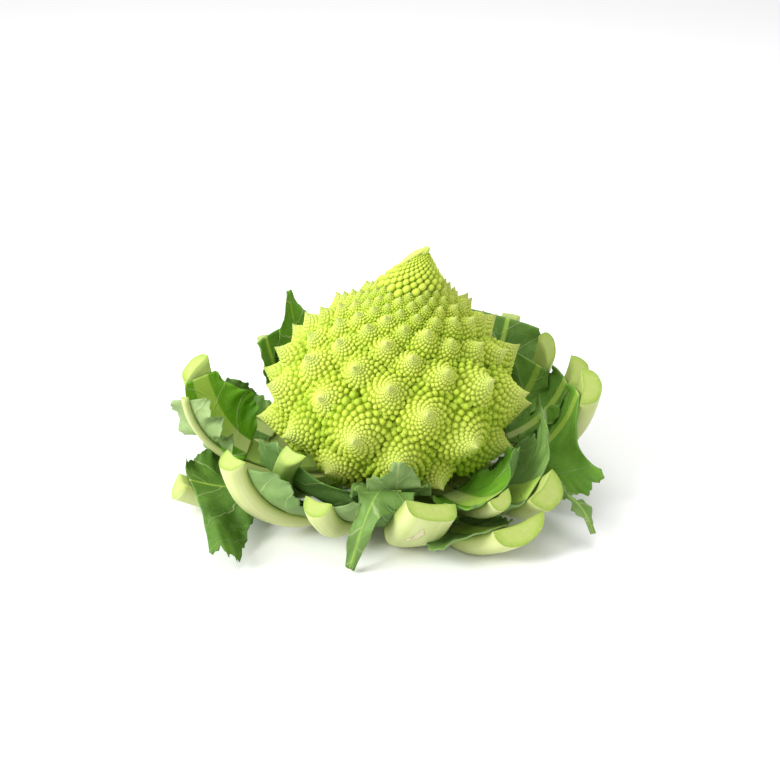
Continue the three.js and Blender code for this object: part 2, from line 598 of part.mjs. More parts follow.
// A point in the middle of a blade's thickness and the direction of its inner face there. The column is
// the place across the blade, from the cw edge at -1 to the ccw edge at 1, and the rib is under the
// middle of it.
function bladePoint(leaf, row, column, extra) {
  const share = row / BLADE_ROWS;
  const side = Math.sign(column);
  const out = Math.max(0, (Math.abs(column) * (BLADE_COLUMNS + 1) - 1) / BLADE_COLUMNS);
  const t = bladeRows(leaf)[row];
  const { at, tangent, across, normal } = leafFrame(leaf, t);
  const [least, past] = NARROW_RIB;
  const half = Math.max(least, 0.5 * ribSize(leaf, t)[0] * (t <= (leaf.ribTo ?? 1) ? 1 : past));
  const ragged = mix(...EDGE_SPREAD, scatter(row * 3.7 + side + Number(leaf.name)));
  const width = Math.max(1, through(side < 0 ? leaf.cw : leaf.ccw, share)) * ragged;
  const cup = ((side < 0 ? leaf.cup[1] : leaf.cup[0]) * DEG) || 1e-3;
  const bend = cup * out;
  const [amplitude, waves, phase] = leaf.wave;
  const wave = amplitude * out ** 1.5 * Math.sin(TURN * (waves * share + phase + 0.23 * side));
  const edge = out === 1 ? extra : 0;
  const end = row === 0 ? -extra : row === BLADE_ROWS ? extra : 0;
  const reach = side * (half + (width * Math.sin(bend)) / cup + edge * Math.cos(bend));
  const rise = BLADE_GAP + BLADE_THICKNESS / 2
    + (width * (1 - Math.cos(bend))) / cup + edge * Math.sin(bend) + wave;
  const point = at
    .addScaledVector(across, reach)
    .addScaledVector(normal, rise)
    .addScaledVector(tangent, end);
  point.z = Math.max(point.z, FLOOR_GAP + BLADE_THICKNESS);
  const inner = normal.multiplyScalar(Math.cos(bend)).addScaledVector(across, -side * Math.sin(bend));
  return { point, inner };
}

function bladeSolid(leaf, extra = 0) {
  const columns = 2 * BLADE_COLUMNS + 2;
  const vertices = [];
  const triangles = [];
  const middle = columns / 2;
  const places = Array.from({ length: columns }, (_, i) => (i < middle ? i : i + 1) / middle - 1);
  for (const half of [1, -1])
    for (let row = 0; row <= BLADE_ROWS; row++)
      for (const column of places) {
        const { point, inner } = bladePoint(leaf, row, column, extra);
        vertices.push(point.addScaledVector(inner, half * (BLADE_THICKNESS / 2 + extra)));
      }
  const back = (BLADE_ROWS + 1) * columns;
  const wall = (a, b) => triangles.push([a, b, b + back], [a, b + back, a + back]);
  for (let row = 0; row < BLADE_ROWS; row++)
    for (let i = 0; i + 1 < columns; i++) {
      const a = row * columns + i;
      const [b, c, d] = [a + 1, a + columns + 1, a + columns];
      triangles.push([a, c, b], [a, d, c], [a + back, b + back, c + back], [a + back, c + back, d + back]);
    }
  for (let row = 0; row < BLADE_ROWS; row++) {
    wall((row + 1) * columns, row * columns);
    wall(row * columns + columns - 1, (row + 1) * columns + columns - 1);
  }
  for (let i = 0; i + 1 < columns; i++) {
    wall(i, i + 1);
    wall(back - columns + i + 1, back - columns + i);
  }
  return cutOff(leaf, solidFrom(vertices, triangles), extra);
}

// The same solid a little larger, about a point on the axis.
const swollen = (solid, [share, height]) =>
  solid.translate([0, 0, -height]).scale(1 + share).translate([0, 0, height]);

// What is left of a solid clear of the ones already in place: its largest body.
const clearOf = (solid, taken) =>
  solid.subtract(taken).decompose().sort((a, b) => b.volume() - a.volume())[0];

const root = new THREE.Group();
const [curd, stalk] = [curdSolid(), stalkSolid()];
root.add(meshFrom("curd", curd, curdFinish), meshFrom("stalk", stalk, stalkFinish));
let taken = swollen(curd, CURD_ROOM).add(swollen(stalk, STALK_ROOM));
const place = (name, shape, leaf, material) => {
  root.add(meshFrom(`leaf_${leaf.name}_${name}`, clearOf(shape(leaf), taken), material));
  taken = taken.add(shape(leaf, CLEARANCE));
};
for (const leaf of LEAVES) place("rib", ribSolid, leaf, ribFinish);
for (const leaf of LEAVES) place("blade", bladeSolid, leaf, bladeFinish);
export default root;
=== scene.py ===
"""Dresses the romanesco head.

The curd's florets get their beads in golden-angle spirals. Each leaf gets a round rib with a cut end, and
a finely waved blade with veins. Lengths and places are in millimetres until a mesh is made, in the frame of
the CAD model.
"""
import math

import bpy
import numpy as np
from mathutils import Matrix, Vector


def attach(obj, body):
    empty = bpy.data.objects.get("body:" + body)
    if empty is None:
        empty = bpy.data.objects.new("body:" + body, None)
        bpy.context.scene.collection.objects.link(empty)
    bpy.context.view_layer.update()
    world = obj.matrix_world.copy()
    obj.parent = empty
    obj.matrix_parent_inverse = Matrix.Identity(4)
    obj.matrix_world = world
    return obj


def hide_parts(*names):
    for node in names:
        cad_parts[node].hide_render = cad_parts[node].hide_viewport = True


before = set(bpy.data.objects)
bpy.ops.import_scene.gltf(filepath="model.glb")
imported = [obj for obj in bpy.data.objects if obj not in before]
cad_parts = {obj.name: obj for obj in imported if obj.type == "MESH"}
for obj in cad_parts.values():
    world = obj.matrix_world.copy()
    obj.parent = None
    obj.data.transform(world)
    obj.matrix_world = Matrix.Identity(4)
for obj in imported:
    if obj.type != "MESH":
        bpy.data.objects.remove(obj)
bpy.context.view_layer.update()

MM = 0.001
TURN = 2 * math.pi
DEG = math.pi / 180
GOLDEN = math.pi * (3 - math.sqrt(5))

# The curd, with the CAD model's own dimensions
APEX_HEIGHT = 153
APEX_LEAN = 18
LEAN_START = 40
CONE_ANGLE = 37 * DEG
CONE_SLANT = 94
SHOULDER_RADIUS = 31
SHOULDER_TURN = 88 * DEG
PITCH_SHARES = [0.185, 0.265]
PITCH_SLANTS = [25, 75]
LARGEST_PITCH = 28
TIP_SLANT = 44
TIP_BUD_SLANT = 6.5
TIP_BUD_HEIGHT = [0.4, 0.7]
FIRST_FLORET_ANGLE = -98 * DEG
TOP_TILT = 66 * DEG
RIM_TILT = -28 * DEG
TILT_SPREAD = 8 * DEG
TILT_START = 20
STRAY_LENGTH = 40
PITCH_SPREAD = [0.9, 1.12]
FLORET_HALF_ANGLE = 38 * DEG
FLORET_HEIGHT = 0.79
FLORET_RIM = 0.5
FLORET_HOOK = 0.15
STALK_TOP = 33
STALK_GAP = 0.3
SEAT_RADIUS = 26

# The beads of a floret. Where there are two values, the first is at the rim and the second at the tip.
BEADED_SLANT = 30  # nearer the apex than this, a cell is a single bead
SMALLEST_BEAD = 0.32  # distance between the beads at a floret's tip
BEAD_GROWTH = 0.25  # and how much it grows with each millimetre from the tip
BEAD_CALM = 60  # at this many millimetres it has grown half as far as it would at that pace
HORN = 0.25  # the power of the distance by which a floret is narrower than a straight cone
BEAD_REACH = 1.36  # the beads go this far past the floret's rim, into the hollows
DEEP_FROM = 0.58  # from this share of that distance on, the beads get darker, as painted shade in the hollows between florets
BEAD_TILT = [8 * DEG, 40 * DEG]  # a bead leans this far from the surface's normal towards the tip
BEAD_LENGTH = [1.4, 0.6]  # a bead's height, as a share of its usual one
TIP_FADE = 0.9  # a floret's tip looks pale as far down as this share of its side: partly its own paler colour, partly a painted highlight
HOOK_LEAN = 1.6  # how much more the beads of a hooked tip lean over than the tip itself
SIZE_JITTER = 0.08
PLACE_JITTER = 0.1
CREVICE_FILL = 0.12  # how far the surface lies above the beads' middles, as a share of their pitch
CONE_SHARES = [0.0, 0.04, 0.1, 0.2, 0.4, 0.7, 1.0, 1.3]  # rings of the cone under the beads, 1 at the rim
CONE_SIDES = 20
NEIGHBOUR_REACH = 2.2  # florets further apart than this, in largest pitches, don't meet
CORE_DEPTH = 0.13  # how deep the body lies under the cells, as a share of their pitch
CORE_ROWS = 60
CORE_SIDES = 64

# The curd's very tip
TIP_BUD_LIFT = 14 * DEG
PLAIN_TONE = 0.3  # how dark these buds and the body under all cells are; on the body this darkness is painted shade
# The palenesses below work as on the floret tips: partly their own paler colour, partly a painted highlight
TIP_BUD_PALENESS = 0.25
HORN_PLACE = [0.6, -0.8, APEX_HEIGHT - 3.6]
HORN_AXIS = [0.3, -0.2, 1.0]
HORN_WIDTH = 4.8
HORN_LENGTH = 1.35
HORN_PALENESS = 0.7
RIDGE_ENDS = [[-10.5, -1.6, APEX_HEIGHT - 11.5], [0.3, -1.6, APEX_HEIGHT - 1.2]]
RIDGE_BULGE = 0.9
RIDGE_RADIUS = 2.1
RIDGE_ROWS = 18
RIDGE_SIDES = 12
RIDGE_PALENESS = 0.95

# The leaves, as in the CAD model. A path has four control points: distance from the axis, azimuth in degrees
# and height. The leaf turns about it by the roll. The rib's width and depth are those of its cut end, and a
# slanted cut faces an azimuth and an elevation. The blade has a span, widths on both sides, cup angles and a
# wave.
BLADE_THICKNESS = 1
BLADE_GAP = 0.45
BLADE_ROWS = 6
RIB_ROOT = [10, 6]
RIB_GROWTH = 0.85
CUT_REACH = 0.14
FLOOR_GAP = 0.3
EDGE_SPREAD = [0.86, 1.12]
NOTCHES = [(0.035, 61, 2), (0.03, 143, 5)]  # depth, angle over the whole edge, and shift of its waves
FRILL = 0.9
FRILL_WAVES = 3.3
QUILT = 0.45
QUILT_LENGTH = 24

# The meshes of the leaves
RIB_ROWS = 44
BELLY_POINTS = 18
CHANNEL_POINTS = 10
CHANNEL_HALF = 0.46  # half the channel's width and its depth, as shares of the rib's
CHANNEL_DEPTH = 0.10
CUT_RINGS = (0.995, 0.86, 0.6, 0.3, 0.02)
CUT_STEPS = 120
SHEET_ROWS = 52
SIDE_COLUMNS = 16
STRIP_COLUMNS = 7
UV_LENGTH = 50  # this many millimetres are one unit of the veins' and streaks' coordinates
LEAVES = [
    {
        "name": "02", "path": [[24, 200, 6], [70, 200, 5], [106, 201, 8], [133, 200, 24]], "rib": [17, 13],
        "blade": [0.42, 0.95], "ccw": [10, 22, 38, 60, 66], "cw": [6, 14, 22, 22, 12], "cup": [-15, 40],
        "wave": [4, 2.2, 0.1],
    },
    {
        "name": "03", "path": [[24, 236, 7], [82, 238, 3], [118, 224, 18], [120, 222, 58]],
        "rib": [15.5, 11], "cut": [240, 68], "blade": [0.3, 0.94], "ccw": [10, 20, 28, 27, 16],
        "cw": [3, 8, 12, 14, 10], "cup": [35, 10], "wave": [2.5, 2, 0.3],
    },
    {
        "name": "07", "path": [[24, 274, 7], [70, 272, 4], [86, 273, 5], [103, 281, 40]], "rib": [31, 13],
        "blade": [0.4, 0.88], "ccw": [6, 14, 18, 14, 8], "cw": [4, 10, 12, 10, 6], "cup": [20, 40],
        "wave": [2, 2, 0.6],
    },
    {
        "name": "11", "path": [[24, 296, 7], [66, 292, 4], [98, 292, 4], [119, 305, 25]], "rib": [20, 13],
        "cut": [285, 35], "blade": [0.38, 0.9], "ccw": [4, 12, 16, 14, 8], "cw": [5, 16, 22, 20, 10],
        "cup": [25, -5], "wave": [2, 2, 0.8],
    },
    {
        "name": "12", "path": [[24, 330, 8], [82, 332, 8], [118, 330, 40], [139, 324, 8]], "rib": [7, 4],
        "ribTo": 0.55, "blade": [0.42, 1], "ccw": [3, 8, 9, 6, 1, 1, 4, 5, 1.5],
        "cw": [3, 8, 9, 6, 1, 1, 5, 4, 1.5], "cup": [-20, 30], "wave": [2.5, 2.5, 0.2],
    },
    {
        "name": "13", "path": [[24, 352, 8], [70, 352, 7], [102, 353, 22], [111, 355, 67]], "rib": [14, 13],
        "roll": 12, "cut": [285, 40], "blade": [0.32, 0.97], "ccw": [5, 10, 14, 12, 6],
        "cw": [14, 28, 40, 42, 32], "cup": [45, -80], "wave": [3, 2.5, 0.4],
    },
    {
        "name": "21", "path": [[24, 72, 7], [72, 72, 6], [102, 72, 16], [113, 70, 58]], "rib": [22, 12],
        "blade": [0.46, 0.92], "ccw": [5, 18, 25, 24, 16], "cw": [5, 24, 34, 30, 18], "cup": [30, 35],
        "wave": [3, 2, 0.5],
    },
    {
        "name": "22", "path": [[24, 112, 7], [72, 112, 6], [102, 111, 16], [114, 110, 52]], "rib": [21, 12],
        "blade": [0.46, 0.92], "ccw": [5, 24, 34, 32, 20], "cw": [5, 18, 25, 23, 15], "cup": [30, 35],
        "wave": [3, 2, 0.7],
    },
    {
        "name": "23", "path": [[24, 154, 7], [74, 155, 6], [108, 158, 14], [120, 161, 48]], "rib": [20, 12],
        "blade": [0.46, 0.92], "ccw": [5, 10, 12, 10, 6], "cw": [5, 14, 15, 11, 6], "cup": [25, 30],
        "wave": [2, 2, 0.9],
    },
    {
        "name": "19", "path": [[24, 184, 6], [74, 188, 5], [120, 190, 22], [125, 188, 64]],
        "rib": [4.5, 3.5], "roll": 55, "blade": [0.6, 0.98], "ccw": [8, 13, 14, 13, 9],
        "cw": [8, 12, 16, 15, 8], "cup": [20, 25], "wave": [4, 2.5, 0.6],
    },
    {
        "name": "01", "path": [[24, 187, 16], [72, 188, 13], [108, 186, 18], [118, 181, 75]],
        "rib": [19, 9], "roll": -50, "cut": [225, 60], "blade": [0.54, 0.97], "ccw": [3, 4, 4, 4, 3],
        "cw": [8, 18, 19, 10, 3], "cup": [10, 40], "wave": [1.5, 2, 0.2],
    },
    {
        "name": "05", "path": [[24, 254, 9], [74, 252, 10], [102, 249, 16], [109, 247, 41]],
        "rib": [15, 11], "cut": [265, 60], "blade": [0.32, 0.92], "ccw": [8, 14, 18, 17, 10],
        "cw": [4, 8, 9, 8, 5], "cup": [55, 35], "wave": [2.5, 2, 0.3],
    },
    {
        "name": "09", "path": [[24, 306, 16], [64, 303, 14], [92, 300, 20], [112, 301, 42]], "rib": [13, 9],
        "roll": 15, "cut": [295, 25], "blade": [0.33, 0.95], "ccw": [16, 30, 36, 33, 20],
        "cw": [6, 14, 18, 17, 10], "cup": [60, 50], "wave": [2.5, 2, 0.1],
    },
    {
        "name": "14", "path": [[24, 8, 17], [68, 8, 15], [98, 9, 26], [108, 9, 65]], "rib": [13, 12],
        "cut": [290, 40], "blade": [0.4, 0.94], "ccw": [5, 16, 22, 22, 16], "cw": [3, 8, 10, 10, 6],
        "cup": [30, 20], "wave": [2, 2, 0.7],
    },
    {
        "name": "16", "path": [[24, 49, 15], [68, 48, 13], [98, 48, 28], [112, 49, 72]], "rib": [12, 8],
        "blade": [0.42, 0.985], "ccw": [5, 24, 34, 34, 24], "cw": [5, 22, 32, 34, 26], "cup": [25, 30],
        "wave": [3, 2, 0.2],
    },
    {
        "name": "17", "path": [[24, 144, 18], [66, 145, 15], [88, 146, 28], [97, 147, 71]], "rib": [8, 5],
        "blade": [0.44, 1], "ccw": [3, 6, 8, 8, 6], "cw": [5, 18, 25, 25, 20], "cup": [25, 20],
        "wave": [2, 2, 0.3],
    },
    {
        "name": "04", "path": [[24, 224, 17], [74, 216, 12], [92, 217, 20], [93, 233, 58]], "rib": [13, 9],
        "cut": [250, 55], "blade": [0.28, 0.93], "ccw": [18, 38, 50, 46, 30], "cw": [8, 18, 22, 18, 8],
        "cup": [38, 30], "wave": [2.5, 2, 0.2],
    },
    {
        "name": "10", "path": [[24, 326, 18], [70, 318, 14], [98, 315, 20], [118, 314, 42]],
        "rib": [21, 15], "roll": 25, "cut": [295, 25], "blade": [0.28, 0.92], "ccw": [14, 28, 38, 42, 32],
        "cw": [5, 12, 16, 15, 9], "cup": [55, 45], "wave": [2.5, 2, 0.6],
    },
    {
        "name": "06", "path": [[24, 266, 15], [62, 266, 15], [108, 266, 73], [113, 257, 3]], "rib": [6, 4],
        "ribTo": 0.5, "blade": [0.38, 1], "ccw": [10, 18, 19, 12, 6, 5, 2],
        "cw": [12, 16, 14, 8, 5, 4, 1.5], "cup": [-25, -10], "wave": [4, 2.4, 0.4],
    },
    {
        "name": "15", "path": [[24, 28, 20], [62, 26, 13], [92, 25, 22], [100, 23, 67]], "rib": [12, 9],
        "roll": 25, "cut": [300, 30], "blade": [0.4, 0.93], "ccw": [6, 20, 28, 30, 22],
        "cw": [3, 6, 8, 8, 5], "cup": [22, 15], "wave": [2.5, 2, 0.5],
    },
    {
        "name": "18", "path": [[24, 128, 20], [64, 130, 14], [92, 131, 30], [101, 132, 93]], "rib": [7, 4],
        "ribTo": 0.8, "blade": [0.42, 1], "ccw": [5, 16, 19, 13, 1.5], "cw": [5, 14, 17, 12, 1.5],
        "cup": [30, 35], "wave": [2, 2, 0.1],
    },
    {
        "name": "08", "path": [[24, 272, 26], [62, 271, 17], [84, 270, 24], [94, 271, 60]], "rib": [5, 3],
        "ribTo": 0.75, "blade": [0.36, 1], "ccw": [10, 17, 18, 13, 2], "cw": [12, 18, 17, 12, 2],
        "cup": [15, 25], "wave": [2.5, 2.5, 0.8],
    },
]

# How a leaf looks, from 0 to 1: how lively and light its green is (partly the leaf's own colour, partly painted
# light and shade by how lit each leaf is), how grey and pale it is, how far its torn edge has gone white, how
# green its rib is and how notched its edge is. The strip is the pale part over the rib, as a share of the rib's
# width, and the lower the value for round, the fuller the rib's section is.
USUAL_LOOK = {"lively_and_lit": 0.1, "pale": 0.1, "frost": 0.2, "green": 0.2, "notch": 1.0, "strip": 0.6,
              "round": 0.85}
LOOKS = {
    "01": {"lively_and_lit": 1.0, "pale": 0.0, "green": 0.8, "notch": 0.15, "strip": 0.6},
    "02": {"lively_and_lit": 0.1, "pale": 0.0, "strip": 0.12},
    "03": {"pale": 0.35, "strip": 0.8, "green": 0.0},
    "04": {"lively_and_lit": 0.65, "green": 1.0, "strip": 0.4},
    "05": {"pale": 0.95, "strip": 0.6},
    "06": {"pale": 0.35, "strip": 0.15, "notch": 0.3},
    "07": {"strip": 0.8, "green": 0.05, "round": 0.6},
    "08": {"pale": 0.6, "strip": 0.2, "notch": 0.2},
    "09": {"lively_and_lit": 1.0, "strip": 0.9},
    "10": {"pale": 0.45, "frost": 0.7, "strip": 0.9},
    "11": {"pale": 0.5, "strip": 0.8, "green": 0.0},
    "12": {"pale": 0.6, "frost": 0.6, "strip": 0.3},
    "13": {"lively_and_lit": 0.9, "pale": 0.2, "frost": 0.6, "strip": 0.5},
    "14": {"lively_and_lit": 0.4, "green": 0.4},
    "15": {"lively_and_lit": 0.75, "pale": 0.35, "green": 0.4, "strip": 0.35},
    "16": {"strip": 0.3, "green": 0.4},
    "17": {"lively_and_lit": 0.7, "green": 0.8, "strip": 0.35},
    "18": {"lively_and_lit": 0.9, "green": 0.8, "strip": 0.2},
    "19": {"pale": 1.0, "strip": 0.4, "notch": 0.5},
}

mix = lambda a, b, t: a + (b - a) * t
smooth = lambda t: np.clip(t, 0, 1) ** 2 * (3 - 2 * np.clip(t, 0, 1))


def scatter(seed):
    """A number from 0 to 1 that looks random and is the same for the same seed."""
    x = np.sin(np.asarray(seed, float) * 12.9898 + 4.1414) * 43758.5453
    return x - np.floor(x)


def unit(v):
    return v / np.linalg.norm(v, axis=-1, keepdims=True)


# Meshes

def make_object(name, vertices, faces, material, node, attributes, uv=None):
    """A smooth-shaded object from millimetre vertices, standing for a CAD node."""
    mesh = bpy.data.meshes.new(name)
    counts = [np.full(len(f), f.shape[1]) for f in faces]
    loops = np.concatenate([f.ravel() for f in faces]).astype(np.int32)
    totals = np.concatenate(counts).astype(np.int32)
    starts = np.concatenate([[0], np.cumsum(totals)[:-1]]).astype(np.int32)
    mesh.vertices.add(len(vertices))
    mesh.vertices.foreach_set("co", (np.asarray(vertices) * MM).astype(np.float32).ravel())
    mesh.loops.add(len(loops))
    mesh.loops.foreach_set("vertex_index", loops)
    mesh.polygons.add(len(totals))
    mesh.polygons.foreach_set("loop_start", starts)
    mesh.polygons.foreach_set("loop_total", totals)
    mesh.update(calc_edges=True)
    mesh.polygons.foreach_set("use_smooth", np.ones(len(totals), bool))
    for key, values in attributes.items():
        layer = mesh.attributes.new(key, "FLOAT", "POINT")
        layer.data.foreach_set("value", np.asarray(values, np.float32))
    if uv is not None:
        layer = mesh.uv_layers.new(name="UVMap")
        layer.data.foreach_set("uv", np.asarray(uv, np.float32)[loops].ravel())
    mesh.validate()
    mesh.materials.append(material)
    obj = bpy.data.objects.new(name, mesh)
    bpy.context.scene.collection.objects.link(obj)
    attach(obj, "root")
    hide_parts(node)


def grid_faces(rows, columns, wrap=False, flip=False, start=0):
    """Quads of a grid of vertices stored row by row."""
    r = np.arange(rows - 1)[:, None] * columns
    c = np.arange(columns if wrap else columns - 1)[None, :]
    d = (c + 1) % columns
    quads = np.stack([r + c, r + d, r + columns + d, r + columns + c], -1).reshape(-1, 4) + start
    return quads[:, ::-1] if flip else quads


# Materials

NOISE_ROUGHNESS = 0.55


class Nodes:
    """Makes the nodes of a material and links them."""

    def __init__(self, name, **principled):
        self.material = bpy.data.materials.new(name)
        self.material.use_nodes = True
        self.tree = self.material.node_tree
        self.shader = self.tree.nodes["Principled BSDF"]
        for key, value in principled.items():
            self.shader.inputs[key.replace("_", " ")].default_value = value

    def put(self, socket, value):
        if isinstance(value, bpy.types.NodeSocket):
            self.tree.links.new(value, socket)
        elif value is not None:
            socket.default_value = value

    def add(self, kind, *inputs, **settings):
        node = self.tree.nodes.new(kind)
        for key, value in settings.items():
            setattr(node, key, value)
        for socket, value in zip(node.inputs, inputs):
            self.put(socket, value)
        return node

    def math(self, operation, *inputs, clamp=False):
        return self.add("ShaderNodeMath", *inputs, operation=operation, use_clamp=clamp).outputs[0]

    def attribute(self, name):
        node = self.add("ShaderNodeAttribute", attribute_name=name)
        return node.outputs["Fac"]

    def place(self):
        return self.add("ShaderNodeTexCoord").outputs["Object"]

    def noise(self, vector, scale, detail=3.0):
        node = self.add("ShaderNodeTexNoise")
        self.put(node.inputs["Vector"], vector)
        self.put(node.inputs["Scale"], scale)
        self.put(node.inputs["Detail"], detail)
        self.put(node.inputs["Roughness"], NOISE_ROUGHNESS)
        return node.outputs[0]

    def voronoi(self, vector, scale, feature="F1"):
        node = self.add("ShaderNodeTexVoronoi", feature=feature)
        self.put(node.inputs["Vector"], vector)
        self.put(node.inputs["Scale"], scale)
        return node.outputs["Distance"]

    def ramp(self, value, *stops):
        """A colour for each place on the ramp, in pairs."""
        node = self.add("ShaderNodeValToRGB", value)
        elements = node.color_ramp.elements
        while len(elements) < len(stops):
            elements.new(1.0)
        for element, (at, colour) in zip(elements, stops):
            element.position = at
            element.color = (*colour, 1) if isinstance(colour, tuple) else (colour, colour, colour, 1)
        return node.outputs[0]

    def blend(self, share, a, b, kind="MIX"):
        node = self.add("ShaderNodeMix", data_type="RGBA", blend_type=kind)
        self.put(node.inputs[0], share)
        self.put(node.inputs[6], (*a, 1) if isinstance(a, tuple) else a)
        self.put(node.inputs[7], (*b, 1) if isinstance(b, tuple) else b)
        return node.outputs[2]

    def bump(self, height, strength, distance):
        node = self.add("ShaderNodeBump")
        self.put(node.inputs["Strength"], strength)
        self.put(node.inputs["Distance"], distance)
        self.put(node.inputs["Height"], height)
        return node.outputs[0]

    def finish(self, colour, normal=None):
        self.put(self.shader.inputs["Base Color"], colour)
        self.put(self.shader.inputs["Normal"], normal)
        return self.material


def curd_material():
    n = Nodes("curd", Subsurface_Weight=0.2, Subsurface_Scale=0.004, Roughness=0.55, Specular_IOR_Level=0.25)
    n.shader.inputs["Subsurface Radius"].default_value = (1.0, 0.9, 0.2)
    bead, tip, tone_and_hollow_shade = n.attribute("bead"), n.attribute("tip"), n.attribute("tone_and_hollow_shade")
    place = n.place()
    # Painted shade: each bead darkens towards its base, into the crevices between beads
    top = n.ramp(bead, (0.0, (0.27, 0.39, 0.012)), (0.4, (0.39, 0.51, 0.025)),
                 (0.75, (0.49, 0.60, 0.045)),
                 (1.0, (0.55, 0.65, 0.075)))
    # Floret tips paler and bluer: partly their own paler colour, partly a painted highlight
    pale = n.blend(n.math("MULTIPLY", n.math("POWER", tip, 1.6), 0.7), top, (0.70, 0.75, 0.26))
    patches = n.ramp(n.noise(place, 22.0), (0.35, 0.0), (0.7, 1.0))
    yellow = n.blend(n.math("MULTIPLY", patches, 0.3), pale, (0.58, 0.62, 0.08))
    # Darker and greener by the tone: partly a random tone, partly painted shade in the hollows
    toned_and_hollow_shaded = n.blend(tone_and_hollow_shade, yellow, n.blend(1.0, yellow, (0.62, 0.76, 0.42), "MULTIPLY"))
    blemishes = n.ramp(n.noise(place, 75.0), (0.64, 0.0), (0.74, 1.0))
    spot = n.math("MULTIPLY", blemishes, n.math("POWER", tip, 8.0))
    colour = n.blend(n.math("MULTIPLY", spot, 0.4), toned_and_hollow_shaded, (0.42, 0.32, 0.10))
    fine = n.voronoi(place, 1150.0)
    return n.finish(colour, n.bump(fine, 0.35, -0.0004))


def vein_field(n, uv):
    """Main veins that leave the rib at a slant, and the net between them, from 0 to 1."""
    split = n.add("ShaderNodeSeparateXYZ", uv)
    across, along = split.outputs[0], split.outputs[1]
    wobble = n.math("MULTIPLY", n.math("SUBTRACT", n.noise(uv, 1.6), 0.5), 0.42)
    out = n.math("ABSOLUTE", across)
    side = n.math("MULTIPLY", n.math("SIGN", across), 0.21)
    slanted = n.math("SUBTRACT", n.math("ADD", along, wobble), n.math("MULTIPLY", out, 0.95))
    count = n.math("ADD", n.math("MULTIPLY", slanted, 2.1), side)
    distance = n.math("ABSOLUTE", n.math("SUBTRACT", n.math("FRACT", count), 0.5))
    width = n.math("ADD", 0.05, n.math("MULTIPLY", out, -0.035))
    away = n.math("DIVIDE", distance, n.math("MAXIMUM", width, 0.012))
    main = n.math("SUBTRACT", 1.0, n.math("MINIMUM", away, 1.0))
    drift = n.add("ShaderNodeTexNoise", uv).outputs[1]
    shift = n.add("ShaderNodeVectorMath", drift, (0.18, 0.18, 0.18), operation="MULTIPLY").outputs[0]
    warped = n.add("ShaderNodeVectorMath", uv, shift).outputs[0]
    net = n.ramp(n.voronoi(warped, 4.6, "DISTANCE_TO_EDGE"), (0.0, 1.0), (0.045, 0.0))
    mesh = n.ramp(n.voronoi(warped, 13.0, "DISTANCE_TO_EDGE"), (0.0, 1.0), (0.08, 0.0))
    return main, net, mesh


def blade_material(name):
    n = Nodes(name, Roughness=0.5, Specular_IOR_Level=0.25)
    uv = n.add("ShaderNodeTexCoord").outputs["UV"]
    place = n.place()
    inner, lively_and_lit, grey, strip, edge, frost, stem = (
        n.attribute(a) for a in ("inner", "lively_and_lit", "pale", "strip", "edge", "frost", "stem"))
    main, net, mesh = vein_field(n, uv)
    cloud = n.ramp(n.noise(place, 38.0, 4.0), (0.3, 0.0), (0.7, 1.0))
    dark = n.blend(cloud, (0.055, 0.14, 0.014), (0.13, 0.265, 0.034))
    lively = n.blend(cloud, (0.085, 0.28, 0.005), (0.20, 0.47, 0.016))
    greyed = n.blend(cloud, (0.22, 0.38, 0.09), (0.36, 0.55, 0.18))
    # The inner face runs from dark to lively green: partly the leaf's own colour, partly painted light and
    # shade by how lit each leaf is
    inside = n.blend(grey, n.blend(lively_and_lit, dark, lively), greyed)
    outside = n.blend(grey, n.blend(cloud, (0.085, 0.19, 0.04), (0.16, 0.30, 0.07)),
                      n.blend(cloud, (0.22, 0.34, 0.11), (0.37, 0.50, 0.20)))
    face = n.blend(inner, outside, inside)
    netted = n.blend(n.math("MULTIPLY", net, 0.28), face, (0.24, 0.40, 0.11))
    fine = n.blend(n.math("MULTIPLY", mesh, 0.10), netted, (0.24, 0.4, 0.11))
    veined = n.blend(n.math("MULTIPLY", main, 0.75), fine, (0.40, 0.52, 0.20))
    out = n.math("ABSOLUTE", n.add("ShaderNodeSeparateXYZ", uv).outputs[0])
    wobble = n.math("MULTIPLY", n.math("SUBTRACT", n.noise(place, 70.0), 0.5), 0.03)
    inside_strip = n.math("SUBTRACT", n.math("ADD", strip, wobble), out)
    ribbed = n.math("ADD", n.math("MULTIPLY", inside_strip, 45.0), 0.5, clamp=True)
    inner_strip = n.blend(stem, (0.42, 0.62, 0.09), (0.62, 0.72, 0.26))
    lit = n.blend(n.math("MULTIPLY", ribbed, 0.9), veined, n.blend(inner, (0.46, 0.55, 0.25), inner_strip))
    torn = n.math("ADD", n.math("POWER", edge, 3.0), n.math("MULTIPLY", n.noise(place, 75.0), 0.9))
    white = n.math("MULTIPLY", n.ramp(torn, (1.0, 0.0), (1.4, 1.0)), frost)
    colour = n.blend(white, lit, (0.44, 0.51, 0.31))
    height = n.math("ADD", n.math("MULTIPLY", main, -1.0), n.math("ADD", n.math("MULTIPLY", net, -0.5),
                    n.math("MULTIPLY", n.noise(place, 160.0), 0.9)))
    n.finish(colour, n.bump(height, 0.5, 0.0006))
    thin = n.add("ShaderNodeBsdfTranslucent", colour)
    mixed = n.add("ShaderNodeMixShader", 0.2, n.shader.outputs[0], thin.outputs[0])
    n.tree.links.new(mixed.outputs[0], n.tree.nodes["Material Output"].inputs[0])
    return n.material


